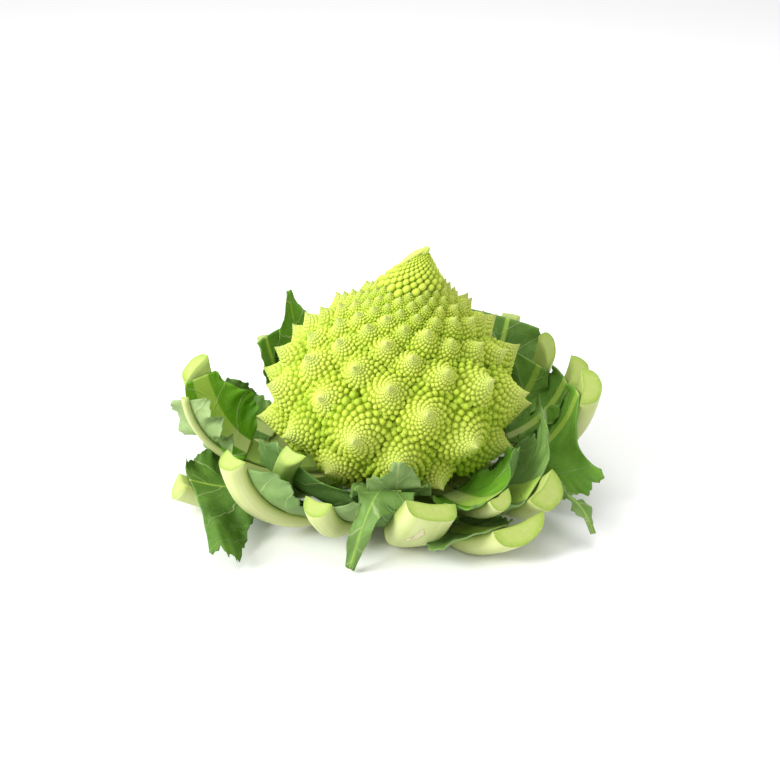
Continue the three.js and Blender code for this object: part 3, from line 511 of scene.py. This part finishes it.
def rib_material(name, scar=False):
    n = Nodes(name, Roughness=0.45, Specular_IOR_Level=0.3, Subsurface_Weight=0.15, Subsurface_Scale=0.004)
    n.shader.inputs["Subsurface Radius"].default_value = (1.0, 1.0, 0.3)
    uv = n.add("ShaderNodeTexCoord").outputs["UV"]
    place = n.place()
    cut, pith, belly, end, green = (n.attribute(a) for a in ("cut", "pith", "belly", "end", "green"))
    stretched = n.add("ShaderNodeMapping", uv)
    stretched.inputs["Scale"].default_value = (26.0, 1.4, 1.0)
    streak = n.noise(stretched.outputs[0], 1.0, 4.0)
    side = n.blend(belly, (0.38, 0.45, 0.10), (0.61, 0.64, 0.31))
    streaked = n.blend(n.ramp(streak, (0.38, 0.0), (0.66, 0.6)), side, (0.47, 0.54, 0.18))
    patches = n.ramp(n.noise(place, 30.0), (0.42, 0.0), (0.7, 1.0))
    greener = n.blend(n.math("MULTIPLY", patches, 0.35), streaked, (0.30, 0.43, 0.09))
    tinted = n.blend(n.math("MULTIPLY", green, 0.85), greener, (0.17, 0.31, 0.035))
    ended = n.blend(n.math("MULTIPLY", end, 0.3), tinted, (0.54, 0.59, 0.22))
    flesh = n.ramp(pith, (0.0, (0.42, 0.50, 0.13)), (0.62, (0.40, 0.50, 0.11)), (0.86, (0.32, 0.44, 0.07)),
                   (1.0, (0.24, 0.36, 0.05)))
    speck = n.blend(n.math("MULTIPLY", n.ramp(n.noise(place, 420.0), (0.5, 0.0), (0.75, 1.0)), 0.3), flesh,
                    (0.54, 0.60, 0.26))
    colour = n.blend(cut, ended, speck)
    if scar:
        rough = n.math("MULTIPLY", n.math("SUBTRACT", n.noise(place, 210.0), 0.5), 0.9)
        ragged = n.math("ADD", n.attribute("scar"), rough)
        mark = n.ramp(ragged, (0.62, 0.0), (0.7, 1.0))
        rim = n.math("MULTIPLY", n.ramp(ragged, (0.55, 0.0), (0.66, 1.0)), n.math("SUBTRACT", 1.0, mark))
        colour = n.blend(n.math("MULTIPLY", mark, 0.85), colour, (0.60, 0.56, 0.36))
        colour = n.blend(n.math("MULTIPLY", rim, 0.9), colour, (0.20, 0.13, 0.04))
    height = n.math("ADD", streak, n.math("MULTIPLY", n.noise(place, 300.0), 0.4))
    return n.finish(colour, n.bump(height, 0.3, 0.0005))


# The curd

def flank(slant):
    """The surface between the florets, at slant distances from the apex: radius, height and steepness."""
    slant = np.asarray(slant, float)
    straight = np.minimum(slant, CONE_SLANT)
    angle = CONE_ANGLE - np.maximum(0, slant - CONE_SLANT) / SHOULDER_RADIUS
    radius = straight * math.sin(CONE_ANGLE) + SHOULDER_RADIUS * (np.cos(angle) - math.cos(CONE_ANGLE))
    height = (APEX_HEIGHT - straight * math.cos(CONE_ANGLE)
              - SHOULDER_RADIUS * (math.sin(CONE_ANGLE) - np.sin(angle)))
    return radius, height, angle


END_SLANT = CONE_SLANT + SHOULDER_RADIUS * SHOULDER_TURN


def pitch_at(slant):
    """The distance between florets."""
    start, end = PITCH_SLANTS
    return np.minimum(slant * mix(*PITCH_SHARES, smooth((slant - start) / (end - start))), LARGEST_PITCH)


def slants():
    found = []
    slant = END_SLANT
    while slant > TIP_BUD_SLANT:
        found.append(slant)
        slant -= (math.sqrt(3) / 2 * pitch_at(slant) ** 2) / (TURN * flank(slant)[0])
    return np.array(found[::-1])


def lean(points):
    share = np.clip((points[..., 2] - LEAN_START) / (APEX_HEIGHT - LEAN_START), 0, 1)
    leant = points.copy()
    leant[..., 0] += APEX_LEAN * share ** 3
    return leant


def floret_axes(slant, angle, seed):
    """A floret's frame: origin on the flank, and its three directions as rows, the last one to its tip."""
    radius, height, _ = flank(slant)
    astray = TILT_SPREAD * np.clip((slant - TILT_START) / STRAY_LENGTH, 0, 1)
    sideways, upwards = (mix(-astray, astray, scatter(seed + salt)) for salt in (0.3, 0.6))
    down = np.clip((slant - TILT_START) / (END_SLANT - TILT_START), 0, 1) ** 1.5
    tilt = mix(TOP_TILT, RIM_TILT, down) + upwards
    origin = np.array([radius * math.cos(angle), radius * math.sin(angle), height])
    turned = angle + sideways
    outward = np.array([math.cos(turned), math.sin(turned), 0])
    axis = outward * math.cos(tilt) + np.array([0, 0, math.sin(tilt)])
    across = np.array([-math.sin(turned), math.cos(turned), 0])
    return origin, np.array([np.cross(across, axis), across, axis])


# Sides of a bead of pitch 1, its rings from its base up as radius and height, and the height of its top
BEAD_SHAPES = {
    "large": (8, [(0.58, -0.16), (0.53, 0.12), (0.34, 0.42)], 0.60),
    "small": (6, [(0.56, -0.10), (0.42, 0.30)], 0.54),
    "pearl": (12, [(0.56, -0.2), (0.56, 0.04), (0.47, 0.27), (0.30, 0.43)], 0.50),
}
LARGE_BEAD = 1.6  # from this pitch on, a bead has the large shape
BEADS_IN_PIECE = 4500


def bead_template(kind):
    sides, rings, top = BEAD_SHAPES[kind]
    turn = np.arange(sides) / sides * TURN
    points = [np.stack([r * np.cos(turn + i * 0.4), r * np.sin(turn + i * 0.4), np.full(sides, z)], -1)
              for i, (r, z) in enumerate(rings)]
    vertices = np.concatenate(points + [np.array([[0, 0, top]])])
    last = (len(rings) - 1) * sides
    fan = np.array([[last + i, last + (i + 1) % sides, len(vertices) - 1] for i in range(sides)])
    heights = (vertices[:, 2] + 0.1) / (top + 0.1)
    return vertices, grid_faces(len(rings), sides, wrap=True), fan, np.clip(heights, 0, 1)


def beads(kind, centres, axes, sizes, lengths, tips, tones_and_hollow_shade):
    """One mesh of many beads: vertices, quads, triangles, and the vertices' heights, tip shares and tones; the
    heights and tones carry painted shade.
    """
    template, quads, fan, heights = bead_template(kind)
    helper = np.where(np.abs(axes[:, 2:3]) < 0.9, [[0, 0, 1.0]], [[1.0, 0, 0]])
    side = unit(np.cross(helper, axes))
    other = np.cross(axes, side)
    basis = np.stack([side, other, axes * lengths[:, None]], 1) * sizes[:, None, None]
    vertices = (template @ basis) + centres[:, None, :]
    offset = (np.arange(len(centres)) * len(template))[:, None, None]
    count = len(template)
    return (vertices.reshape(-1, 3), (quads[None] + offset).reshape(-1, 4),
            (fan[None] + offset).reshape(-1, 3), np.tile(heights, len(centres)), np.repeat(tips, count),
            np.repeat(tones_and_hollow_shade, count))


SLANTS = slants()
ANGLES = FIRST_FLORET_ANGLE + np.arange(len(SLANTS)) * GOLDEN
PITCHES = pitch_at(SLANTS) * mix(*PITCH_SPREAD, scatter(np.arange(len(SLANTS))))
BUD_HEIGHTS = mix(*TIP_BUD_HEIGHT, smooth((SLANTS - TIP_BUD_SLANT) / (TIP_SLANT - TIP_BUD_SLANT)))
HEIGHTS = np.where(SLANTS < TIP_SLANT, BUD_HEIGHTS, FLORET_HEIGHT) * PITCHES
FLORETS = [k for k in range(len(SLANTS)) if SLANTS[k] >= BEADED_SLANT]
FRAMES = {k: floret_axes(SLANTS[k], ANGLES[k], k) for k in FLORETS}


def cone_radius(k, along):
    """Radius of floret k at distances along its side from its tip."""
    rim = FLORET_RIM * PITCHES[k] / math.sin(FLORET_HALF_ANGLE)
    return along * math.sin(FLORET_HALF_ANGLE) * np.clip(along / rim, 0, 1) ** HORN


def hooked(points, k):
    """Points of floret k in its frame, with its upper part bent up."""
    share = np.clip(points[..., 2] / HEIGHTS[k], 0, 1)
    bent = points.copy()
    bent[..., 0] -= FLORET_HOOK * PITCHES[k] * share ** 2
    return bent


def bead_pitch(along):
    """Distance between neighbouring beads at distances along a floret's side from its tip."""
    return SMALLEST_BEAD + BEAD_GROWTH * along / (1 + along / BEAD_CALM)


def bead_distances(rim):
    """Distances of a floret's beads from its tip. Each bead takes the area of the cone that its pitch needs."""
    found = []
    along = rim
    while along > SMALLEST_BEAD:
        found.append(along)
        pitch = bead_pitch(along)
        along -= (math.sqrt(3) / 2 * pitch ** 2) / (TURN * along * math.sin(FLORET_HALF_ANGLE))
    return np.array(found[::-1])


def floret_beads(k):
    """The beads of floret k that lie outside other florets: places, directions, sizes, lengths, and shares
    that say how near each is to the tip and how deep in the hollows."""
    origin, axes = FRAMES[k]
    half = FLORET_HALF_ANGLE
    rim = FLORET_RIM * PITCHES[k] / math.sin(half) * BEAD_REACH
    along = bead_distances(rim)
    i = np.arange(len(along))
    pitch = bead_pitch(along)
    depth = smooth((along / rim - DEEP_FROM) / (1 - DEEP_FROM))
    tip = np.clip(1 - along / (TIP_FADE * rim), 0, 1)
    size = pitch * mix(1 - SIZE_JITTER, 1 + SIZE_JITTER, scatter(i * 0.37 + k))
    along = along + pitch * PLACE_JITTER * (2 * scatter(i * 0.71 + k) - 1)
    turn = i * GOLDEN + scatter(k) * TURN
    radius = cone_radius(k, along)
    height = HEIGHTS[k] - along * math.cos(half)
    local = np.stack([radius * np.cos(turn), radius * np.sin(turn), height], -1)
    lift = half + mix(*BEAD_TILT, tip)
    direction = np.stack([np.cos(lift) * np.cos(turn), np.cos(lift) * np.sin(turn), np.sin(lift)], -1)
    share = np.clip(local[:, 2] / HEIGHTS[k], 0, 1)
    direction[:, 0] -= HOOK_LEAN * FLORET_HOOK * share * tip
    centres, directions = origin + hooked(local, k) @ axes, unit(direction) @ axes
    keep = np.ones(len(along), bool)
    for other in FLORETS:
        if other == k or np.linalg.norm(FRAMES[other][0] - origin) > NEIGHBOUR_REACH * LARGEST_PITCH:
            continue
        seen = (centres + directions * size[:, None] * 0.45 - FRAMES[other][0]) @ FRAMES[other][1].T
        cone = cone_radius(other, np.maximum(0, HEIGHTS[other] - seen[:, 2]) / math.cos(half))
        under = np.hypot(seen[:, 0], seen[:, 1]) < cone - 0.1 * size
        keep &= ~(under & (seen[:, 2] > -0.5 * PITCHES[other]))
    length = mix(*BEAD_LENGTH, tip[keep])
    return centres[keep], directions[keep], size[keep], length, tip[keep], depth[keep]


def floret_cone(k):
    """The plain cone that floret k's beads stand on."""
    origin, axes = FRAMES[k]
    shares = np.array(CONE_SHARES)
    turn = np.arange(CONE_SIDES) / CONE_SIDES * TURN
    along = shares * FLORET_RIM * PITCHES[k] / math.sin(FLORET_HALF_ANGLE)
    filled = CREVICE_FILL * bead_pitch(along) * np.minimum(1, shares * 4)
    radius = np.maximum(0.02, cone_radius(k, along) + filled)
    height = HEIGHTS[k] - along * math.cos(FLORET_HALF_ANGLE)
    local = np.stack([radius[:, None] * np.cos(turn), radius[:, None] * np.sin(turn),
                      np.repeat(height[:, None], CONE_SIDES, 1)], -1).reshape(-1, 3)
    tips = np.repeat(np.clip(1 - shares / TIP_FADE, 0, 1), CONE_SIDES)
    # the cone shows between the beads and is darker below its tip: painted shade in the crevices
    bead = np.repeat(np.where(shares < 0.15, 0.9, 0.25), CONE_SIDES)
    quads = grid_faces(len(shares), CONE_SIDES, wrap=True, flip=True)
    return origin + hooked(local, k) @ axes, quads, bead, tips


def core_surface():
    """The body between the florets, from the tip round to the seat on the stalk; it is coloured dark as painted
    shade in the gaps.
    """
    slant = np.linspace(1.0, END_SLANT, CORE_ROWS)
    radius, height, angle = flank(slant)
    out = -CORE_DEPTH * pitch_at(slant)
    radius, height = radius + out * np.cos(angle), height + out * np.sin(angle)
    radius = np.concatenate([[0.01], radius, [SEAT_RADIUS + 8, SEAT_RADIUS, 0.01]])
    seat = STALK_TOP + STALK_GAP
    height = np.concatenate([[APEX_HEIGHT - 0.4], height, [STALK_TOP - 1.5, seat, seat]])
    turn = np.arange(CORE_SIDES) / CORE_SIDES * TURN
    points = np.stack([radius[:, None] * np.cos(turn), radius[:, None] * np.sin(turn),
                       np.repeat(height[:, None], CORE_SIDES, 1)], -1).reshape(-1, 3)
    return points, grid_faces(len(radius), CORE_SIDES, wrap=True, flip=True)


def tip_buds():
    """The single beads at the tip of the curd, and the little horn that stands up from it."""
    tip = np.arange(len(SLANTS))[SLANTS < BEADED_SLANT]
    radius, height, angle = flank(SLANTS[tip])
    tilt = angle + TIP_BUD_LIFT
    outward = np.stack([np.cos(ANGLES[tip]), np.sin(ANGLES[tip]), np.zeros(len(tip))], -1)
    up = np.array([[0, 0, 1.0]])
    centres = outward * radius[:, None] + up * height[:, None] - 0.02 * PITCHES[tip][:, None] * outward
    axes = outward * np.cos(tilt)[:, None] + up * np.sin(tilt)[:, None]
    count = len(tip)
    return (np.concatenate([centres, [HORN_PLACE]]), np.concatenate([axes, unit(np.array([HORN_AXIS]))]),
            np.concatenate([PITCHES[tip] * 0.98, [HORN_WIDTH]]),
            np.concatenate([np.ones(count), [HORN_LENGTH]]),
            np.concatenate([np.full(count, TIP_BUD_PALENESS), [HORN_PALENESS]]),
            np.full(count + 1, PLAIN_TONE))


def tip_ridge():
    """The smooth pale fold that runs up to the horn on its left."""
    share = np.linspace(0, 1, RIDGE_ROWS)
    start, end = np.array(RIDGE_ENDS)
    path = mix(start, end, share[:, None])
    path[:, 2] += RIDGE_BULGE * np.sin(share * math.pi)
    radius = RIDGE_RADIUS * np.sqrt(np.maximum(0.02, np.sin(math.pi * mix(0.06, 0.94, share))))
    turn = np.arange(RIDGE_SIDES) / RIDGE_SIDES * TURN
    ring = np.stack([-0.7 * np.cos(turn), 1.1 * np.sin(turn), 0.7 * np.cos(turn)], -1)
    points = (path[:, None] + ring[None] * radius[:, None, None]).reshape(-1, 3)
    return points, grid_faces(RIDGE_ROWS, RIDGE_SIDES, wrap=True)


def build_curd(material):
    groups = {"large": [], "small": [], "pearl": [tip_buds()]}
    for k in FLORETS:
        centres, axes, sizes, lengths, tips, hollow_shade_depths = floret_beads(k)
        # A random tone for each floret, and painted shade on the beads that lie deep in the hollows between
        # florets
        tone_and_hollow_shade = float(scatter(k + 0.5)) * 0.35 + hollow_shade_depths * 0.65
        for kind, mask in (("large", sizes > LARGE_BEAD), ("small", sizes <= LARGE_BEAD)):
            groups[kind].append([values[mask] for values in (centres, axes, sizes, lengths, tips, tone_and_hollow_shade)])
    made = 0
    for kind, parts in groups.items():
        stacked = [np.concatenate(values) for values in zip(*parts)]
        for start in range(0, len(stacked[0]), BEADS_IN_PIECE):
            chunk = [values[start:start + BEADS_IN_PIECE] for values in stacked]
            vertices, quads, fans, bead, tips, tones_and_hollow_shade = beads(kind, *chunk)
            made += 1
            make_object(f"curd_beads_{made}", lean(vertices), [quads, fans], material, "curd",
                        {"bead": bead, "tip": tips, "tone_and_hollow_shade": tones_and_hollow_shade})
    vertices, faces, bead, tips = [], [], [], []
    for k in FLORETS:
        points, quads, b, t = floret_cone(k)
        faces.append(quads + sum(len(v) for v in vertices))
        vertices.append(points)
        bead.append(b)
        tips.append(t)
    points, quads = core_surface()
    faces.append(quads + sum(len(v) for v in vertices))
    vertices.append(points)
    # the body takes the darkest bead colour: painted shade in the gaps between florets
    bead.append(np.zeros(len(points)))
    tips.append(np.zeros(len(points)))
    points, quads = tip_ridge()
    faces.append(quads + sum(len(v) for v in vertices))
    vertices.append(points)
    bead.append(np.full(len(points), RIDGE_PALENESS))
    tips.append(np.full(len(points), RIDGE_PALENESS))
    everything = np.concatenate(vertices)
    make_object("curd_core", lean(everything), [np.concatenate(faces)], material, "curd",
                {"bead": np.concatenate(bead), "tip": np.concatenate(tips),
                 "tone_and_hollow_shade": np.full(len(everything), PLAIN_TONE)})


# The leaves

SCARRED_LEAF = "07"
SCAR = [(-0.24, 0.80), (0.1, 1.04)]  # its two ends: across, in widths of the rib, and along the path
SCAR_STRETCH = 4.0  # how long the path is, in widths of the rib
SCAR_WIDTH = 0.1

look = lambda leaf: USUAL_LOOK | LOOKS.get(leaf["name"], {})


def through(values, t):
    """A smooth curve through equally spaced values."""
    values = np.asarray(values, float)
    at = np.clip(t, 0, 1) * (len(values) - 1)
    i = np.minimum(np.floor(at).astype(int), len(values) - 2)
    a, b, c, d = (values[np.clip(i + n, 0, len(values) - 1)] for n in (-1, 0, 1, 2))
    u = at - i
    return b + 0.5 * u * (c - a + u * (2 * a - 5 * b + 4 * c - d + u * (3 * (b - c) + d - a)))


def leaf_frame(leaf, t):
    """Place, tangent, direction across and inner normal at shares of a leaf's path."""
    radius, azimuth, height = np.array(leaf["path"], float).T
    points = np.stack([radius * np.cos(azimuth * DEG), radius * np.sin(azimuth * DEG), height], -1)
    t = np.asarray(t, float)[..., None]
    s = 1 - t
    at = s ** 3 * points[0] + 3 * s * s * t * points[1] + 3 * s * t * t * points[2] + t ** 3 * points[3]
    tangent = unit(s * s * (points[1] - points[0]) + 2 * s * t * (points[2] - points[1])
                   + t * t * (points[3] - points[2]))
    across = unit(np.stack([-at[..., 1], at[..., 0], np.zeros(at.shape[:-1])], -1))
    across = unit(across - tangent * np.sum(across * tangent, -1, keepdims=True))
    normal = np.cross(tangent, across)
    roll = leaf.get("roll", 0) * DEG * smooth(t)
    return (at, tangent, across * np.cos(roll) + normal * np.sin(roll),
            normal * np.cos(roll) - across * np.sin(roll))


def rib_size(leaf, t):
    share = smooth(np.asarray(t, float) / leaf.get("ribTo", 1) / RIB_GROWTH)
    return [mix(RIB_ROOT[i], leaf["rib"][i], share) for i in (0, 1)]


def past_cut(leaf, points):
    """How far points lie beyond the plane of a leaf's slanted cut."""
    azimuth, elevation = (angle * DEG for angle in leaf["cut"])
    facing = np.array([math.cos(elevation) * math.cos(azimuth), math.cos(elevation) * math.sin(azimuth),
                       math.sin(elevation)])
    return (points - leaf_frame(leaf, 1)[0]) @ facing


def first_crossing(places, beyond):
    """For each column the place where its points first pass the cut, or the last place."""
    found = np.full(beyond.shape[1], places[-1])
    for column in range(beyond.shape[1]):
        over = np.nonzero((beyond[1:, column] > 0) & (beyond[:-1, column] <= 0))[0]
        if len(over):
            i = over[-1]
            a, b = beyond[i, column], beyond[i + 1, column]
            found[column] = mix(places[i], places[i + 1], -a / (b - a))
    return found


def rib_points(leaf, t, x, y):
    """Points of a rib at shares t of its path, x across and y down, as shares of its width and depth."""
    at, _, across, normal = leaf_frame(leaf, t)
    width, depth = rib_size(leaf, t)
    seed = float(leaf["name"])
    lumps = 1 + 0.02 * np.sin(t * 23 + seed) + 0.015 * np.sin(x * 14 + seed * 3)
    points = (at + across * (x * width * lumps)[..., None] - normal * (y * depth * lumps)[..., None])
    points[..., 2] = np.maximum(points[..., 2], FLOOR_GAP)
    return points


def rib_mesh(leaf):
    """A rib with a round belly, a shallow channel along its inner face and a flat cut end."""
    rows, sides = RIB_ROWS, BELLY_POINTS + CHANNEL_POINTS
    turn = np.linspace(0, math.pi, BELLY_POINTS)
    roundness = look(leaf)["round"]
    flat = np.linspace(-CHANNEL_HALF, CHANNEL_HALF, CHANNEL_POINTS)
    x = np.concatenate([0.5 * np.sign(np.cos(turn)) * np.abs(np.cos(turn)) ** roundness, flat])
    channel = CHANNEL_DEPTH * np.cos(flat / (2 * CHANNEL_HALF) * math.pi) ** 2
    y = np.concatenate([np.sin(turn) ** roundness, channel])
    x, y = x[::-1], y[::-1]
    end = np.full(sides, float(leaf.get("ribTo", 1)))
    if "cut" in leaf:
        fine = np.linspace(0.4, 1 + CUT_REACH, CUT_STEPS)
        end = first_crossing(fine, past_cut(leaf, rib_points(leaf, fine[:, None] * np.ones(sides), x, y)))
    share = np.linspace(0, 1, rows)[:, None]
    points = rib_points(leaf, share * end, x, y)
    belly = np.tile(smooth(y * 1.6), (rows, 1))
    fade = smooth((share - 0.86) / 0.14) * np.ones(sides)
    middle = points[-1].mean(0)
    caps = [middle + (points[-1] - middle) * s for s in CUT_RINGS]
    lengths = np.linalg.norm(np.diff(points.mean(1), axis=0), axis=1)
    along = np.concatenate([[0], np.cumsum(lengths)]) / UV_LENGTH
    points = np.concatenate([points.reshape(-1, 3)] + caps)
    pith = np.concatenate([np.ones(rows * sides)] + [np.full(sides, s) for s in CUT_RINGS])
    pad = np.zeros(len(CUT_RINGS) * sides)
    cut = np.concatenate([np.zeros(rows * sides), pad + 1])
    u = np.tile(np.arange(sides) / sides, rows + len(CUT_RINGS))
    v = np.concatenate([np.repeat(along, sides), pad + along[-1]])
    faces = grid_faces(rows, sides, wrap=True)
    cap_faces = grid_faces(len(CUT_RINGS), sides, wrap=True, start=rows * sides)
    start = rows * sides
    rim = np.arange(sides)
    after = (rim + 1) % sides
    seam = np.stack([start - sides + rim, start - sides + after, start + after, start + rim], -1)
    attributes = {"belly": np.concatenate([belly.ravel(), pad]), "end": np.concatenate([fade.ravel(), pad]),
                  "cut": cut, "pith": pith, "green": np.full(len(points), look(leaf)["green"])}
    if leaf["name"] == SCARRED_LEAF:
        attributes["scar"] = np.concatenate([scar_field(share * end, x, y).ravel(), pad])
    return points, [np.concatenate([faces, cap_faces, seam])], attributes, np.stack([u, v], -1)


def scar_field(t, x, y):
    """A slanted scratch on a rib's outer face, 1 along its middle and 0 away from it."""
    start, finish = np.array(SCAR[0]), np.array(SCAR[1])
    place = np.stack([x * np.ones_like(t), t * SCAR_STRETCH], -1)
    start, finish = start * [1, SCAR_STRETCH], finish * [1, SCAR_STRETCH]
    along = np.clip((place - start) @ (finish - start) / np.sum((finish - start) ** 2), 0, 1)
    away = np.linalg.norm(place - start - along[..., None] * (finish - start), axis=-1) / SCAR_WIDTH
    return np.where(y > 0.5, np.clip(1.2 - away, 0, 1), 0)


def blade_column(leaf, side, c, share):
    """One column of a blade's points at shares of its span. The side is -1, 0 over the rib or 1, and c the
    column's place in it."""
    t = mix(*leaf["blade"], share)
    at, _, across, normal = leaf_frame(leaf, t)
    past = smooth((t - leaf.get("ribTo", 1)) / 0.06)
    half = np.maximum(1.2, 0.5 * rib_size(leaf, t)[0] * mix(1, 0.4, past))
    base = BLADE_GAP + BLADE_THICKNESS / 2
    strip = half * look(leaf)["strip"]
    if side == 0:
        return at + across * (c * half)[:, None] + normal * base, normal, c * half, strip
    seed = float(leaf["name"])
    amplitude, waves, phase = leaf["wave"]
    rows = np.arange(BLADE_ROWS + 1)
    ragged = through(mix(*EDGE_SPREAD, scatter(rows * 3.7 + side + seed)), share)
    width = np.maximum(1, through(leaf["cw" if side < 0 else "ccw"], share)) * ragged
    notch = sum(deep * np.sin(share * often + seed * shift + side) for deep, often, shift in NOTCHES)
    width = width * (1 + notch * look(leaf)["notch"] * c ** 3)
    cup = leaf["cup"][1 if side < 0 else 0] * DEG or 1e-3
    bend = cup * c
    wave = amplitude * c ** 1.5 * np.sin(TURN * (waves * share + phase + 0.23 * side))
    frill = FRILL * c ** 3 * np.sin(TURN * (waves * FRILL_WAVES * share + phase * 2 + 0.4 * side))
    length = share * 100
    quilt = QUILT * np.sin((length - 0.9 * width * c) * TURN / QUILT_LENGTH + side)
    quilt = quilt * math.sin(math.pi * min(1, c * 1.05))
    reach = side * (half + width * math.sin(bend) / cup)
    rise = base + width * (1 - math.cos(bend)) / cup + wave + frill + quilt
    point = at + across * reach[:, None] + normal * rise[:, None]
    return point, normal * math.cos(bend) - across * side * math.sin(bend), side * (half + width * c), strip


def blade_mesh(leaf):
    """A thin blade, finely waved, cut and frilled at its edges, with two faces and the rim between them."""
    rows = SHEET_ROWS
    steps = np.linspace(0, 1, SIDE_COLUMNS + 1)[1:]
    middle = [(0, c) for c in np.linspace(-1, 1, STRIP_COLUMNS)]
    columns = [(-1, s) for s in steps[::-1]] + middle + [(1, s) for s in steps]
    count = len(columns)
    share = np.linspace(0, 1, rows)
    reach = np.ones(count)
    if "cut" in leaf:
        fine = np.linspace(0, 1, CUT_STEPS)
        sheet = np.stack([blade_column(leaf, side, c, fine)[0] for side, c in columns], 1)
        reach = first_crossing(fine, past_cut(leaf, sheet))
    made = [blade_column(leaf, side, c, share * far) for (side, c), far in zip(columns, reach)]
    mid, inner, across, strip = (np.stack(values, 1) for values in zip(*made))
    mid[..., 2] = np.maximum(mid[..., 2], FLOOR_GAP + BLADE_THICKNESS)
    edge = np.tile([c if side else 0.0 for side, c in columns], (rows, 1))
    thin = BLADE_THICKNESS / 2 * (1 - 0.5 * edge ** 4)[..., None]
    top, bottom = mid + inner * thin, mid - inner * thin
    points = np.concatenate([top.reshape(-1, 3), bottom.reshape(-1, 3)])
    size = rows * count
    faces = [grid_faces(rows, count, flip=False), grid_faces(rows, count, flip=True, start=size)]
    loop = np.concatenate([np.arange(count), np.arange(1, rows) * count + count - 1,
                           np.arange(count - 2, -1, -1) + (rows - 1) * count,
                           np.arange(rows - 2, 0, -1) * count])
    after = np.roll(loop, -1)
    faces.append(np.stack([loop, loop + size, after + size, after], -1))
    centre = mid[:, count // 2]
    along = np.concatenate([[0], np.cumsum(np.linalg.norm(np.diff(centre, axis=0), axis=1))])
    down = (along / UV_LENGTH + float(leaf["name"]) * 0.7)[:, None] * reach
    uv = np.stack([across / UV_LENGTH, down], -1).reshape(-1, 2)
    ends = np.maximum(smooth((share - 0.93) / 0.07), 0)[:, None] * np.ones(count)
    attributes = {"inner": np.repeat([1.0, 0.0], size), "strip": np.tile(strip.ravel() / UV_LENGTH, 2),
                  "edge": np.tile(np.maximum(edge, ends).ravel(), 2)}
    attributes["stem"] = np.tile(np.repeat(1 - smooth((share - 0.1) / 0.4), count), 2)
    for key in ("lively_and_lit", "pale", "frost"):
        attributes[key] = np.full(2 * size, look(leaf)[key])
    return points, [np.concatenate(faces)], attributes, np.tile(uv, (2, 1))


def build_leaves():
    blade = blade_material("blade")
    rib = rib_material("rib")
    scarred = rib_material("rib_scarred", scar=True)
    for leaf in LEAVES:
        name = f"leaf_{leaf['name']}"
        points, faces, attributes, uv = rib_mesh(leaf)
        material = scarred if leaf["name"] == SCARRED_LEAF else rib
        make_object(f"{name}_rib_shape", points, faces, material, f"{name}_rib", attributes, uv)
        points, faces, attributes, uv = blade_mesh(leaf)
        make_object(f"{name}_blade_shape", points, faces, blade, f"{name}_blade", attributes, uv)


# The set, in metres. A lamp has a name, a place, a power and a width.

FLOOR_HALF = 3.0
WORLD_STRENGTH = 0.75
LAMP_TARGET = (0, 0, 0.05)
LAMPS = [
    ("key", (-0.95, -0.55, 0.75), 18, 0.6),
    ("fill", (0.9, -0.5, 0.5), 1.5, 0.9),
    ("top", (-0.1, 0.4, 1.1), 6, 0.8),
]


def look_at(obj, target):
    obj.rotation_euler = (Vector(target) - obj.location).to_track_quat("-Z", "Y").to_euler()


def build_stage():
    floor_material = Nodes("floor", Roughness=0.85).finish((0.93, 0.93, 0.93, 1))
    mesh = bpy.data.meshes.new("floor")
    half = FLOOR_HALF
    mesh.from_pydata([(-half, -half, 0), (half, -half, 0), (half, half, 0), (-half, half, 0)], [],
                     [(0, 1, 2, 3)])
    mesh.materials.append(floor_material)
    floor = bpy.data.objects.new("floor", mesh)
    bpy.context.scene.collection.objects.link(floor)

    world = bpy.data.worlds.new("studio")
    bpy.context.scene.world = world
    world.use_nodes = True
    world.node_tree.nodes["Background"].inputs[0].default_value = (1, 1, 1, 1)
    world.node_tree.nodes["Background"].inputs[1].default_value = WORLD_STRENGTH
    for name, place, energy, width in LAMPS:
        lamp = bpy.data.objects.new(name, bpy.data.lights.new(name, "AREA"))
        lamp.data.energy = energy
        lamp.data.size = width
        lamp.location = place
        look_at(lamp, LAMP_TARGET)
        bpy.context.scene.collection.objects.link(lamp)
    bpy.context.scene.view_settings.view_transform = "Standard"


# The camera looks along +Y and down. The photograph's frame is FRAME_WIDTH across at the target.
CAMERA_ELEVATION = 26 * DEG
CAMERA_DISTANCE = 1.1
CAMERA_TARGET = Vector((-0.003, 0, 0.060))
FRAME_WIDTH = 0.468


def build_camera():
    camera = bpy.data.objects.new("camera", bpy.data.cameras.new("camera"))
    camera.data.sensor_width = 36
    camera.data.lens = 36 * CAMERA_DISTANCE / FRAME_WIDTH
    away = Vector((0, -math.cos(CAMERA_ELEVATION), math.sin(CAMERA_ELEVATION)))
    camera.location = CAMERA_TARGET + away * CAMERA_DISTANCE
    look_at(camera, CAMERA_TARGET)
    bpy.context.scene.collection.objects.link(camera)
    bpy.context.scene.camera = camera


build_curd(curd_material())
build_leaves()
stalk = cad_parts["stalk"]
for place in stalk.material_slots:
    place.material = rib_material("stalk_flesh")
build_stage()
build_camera()
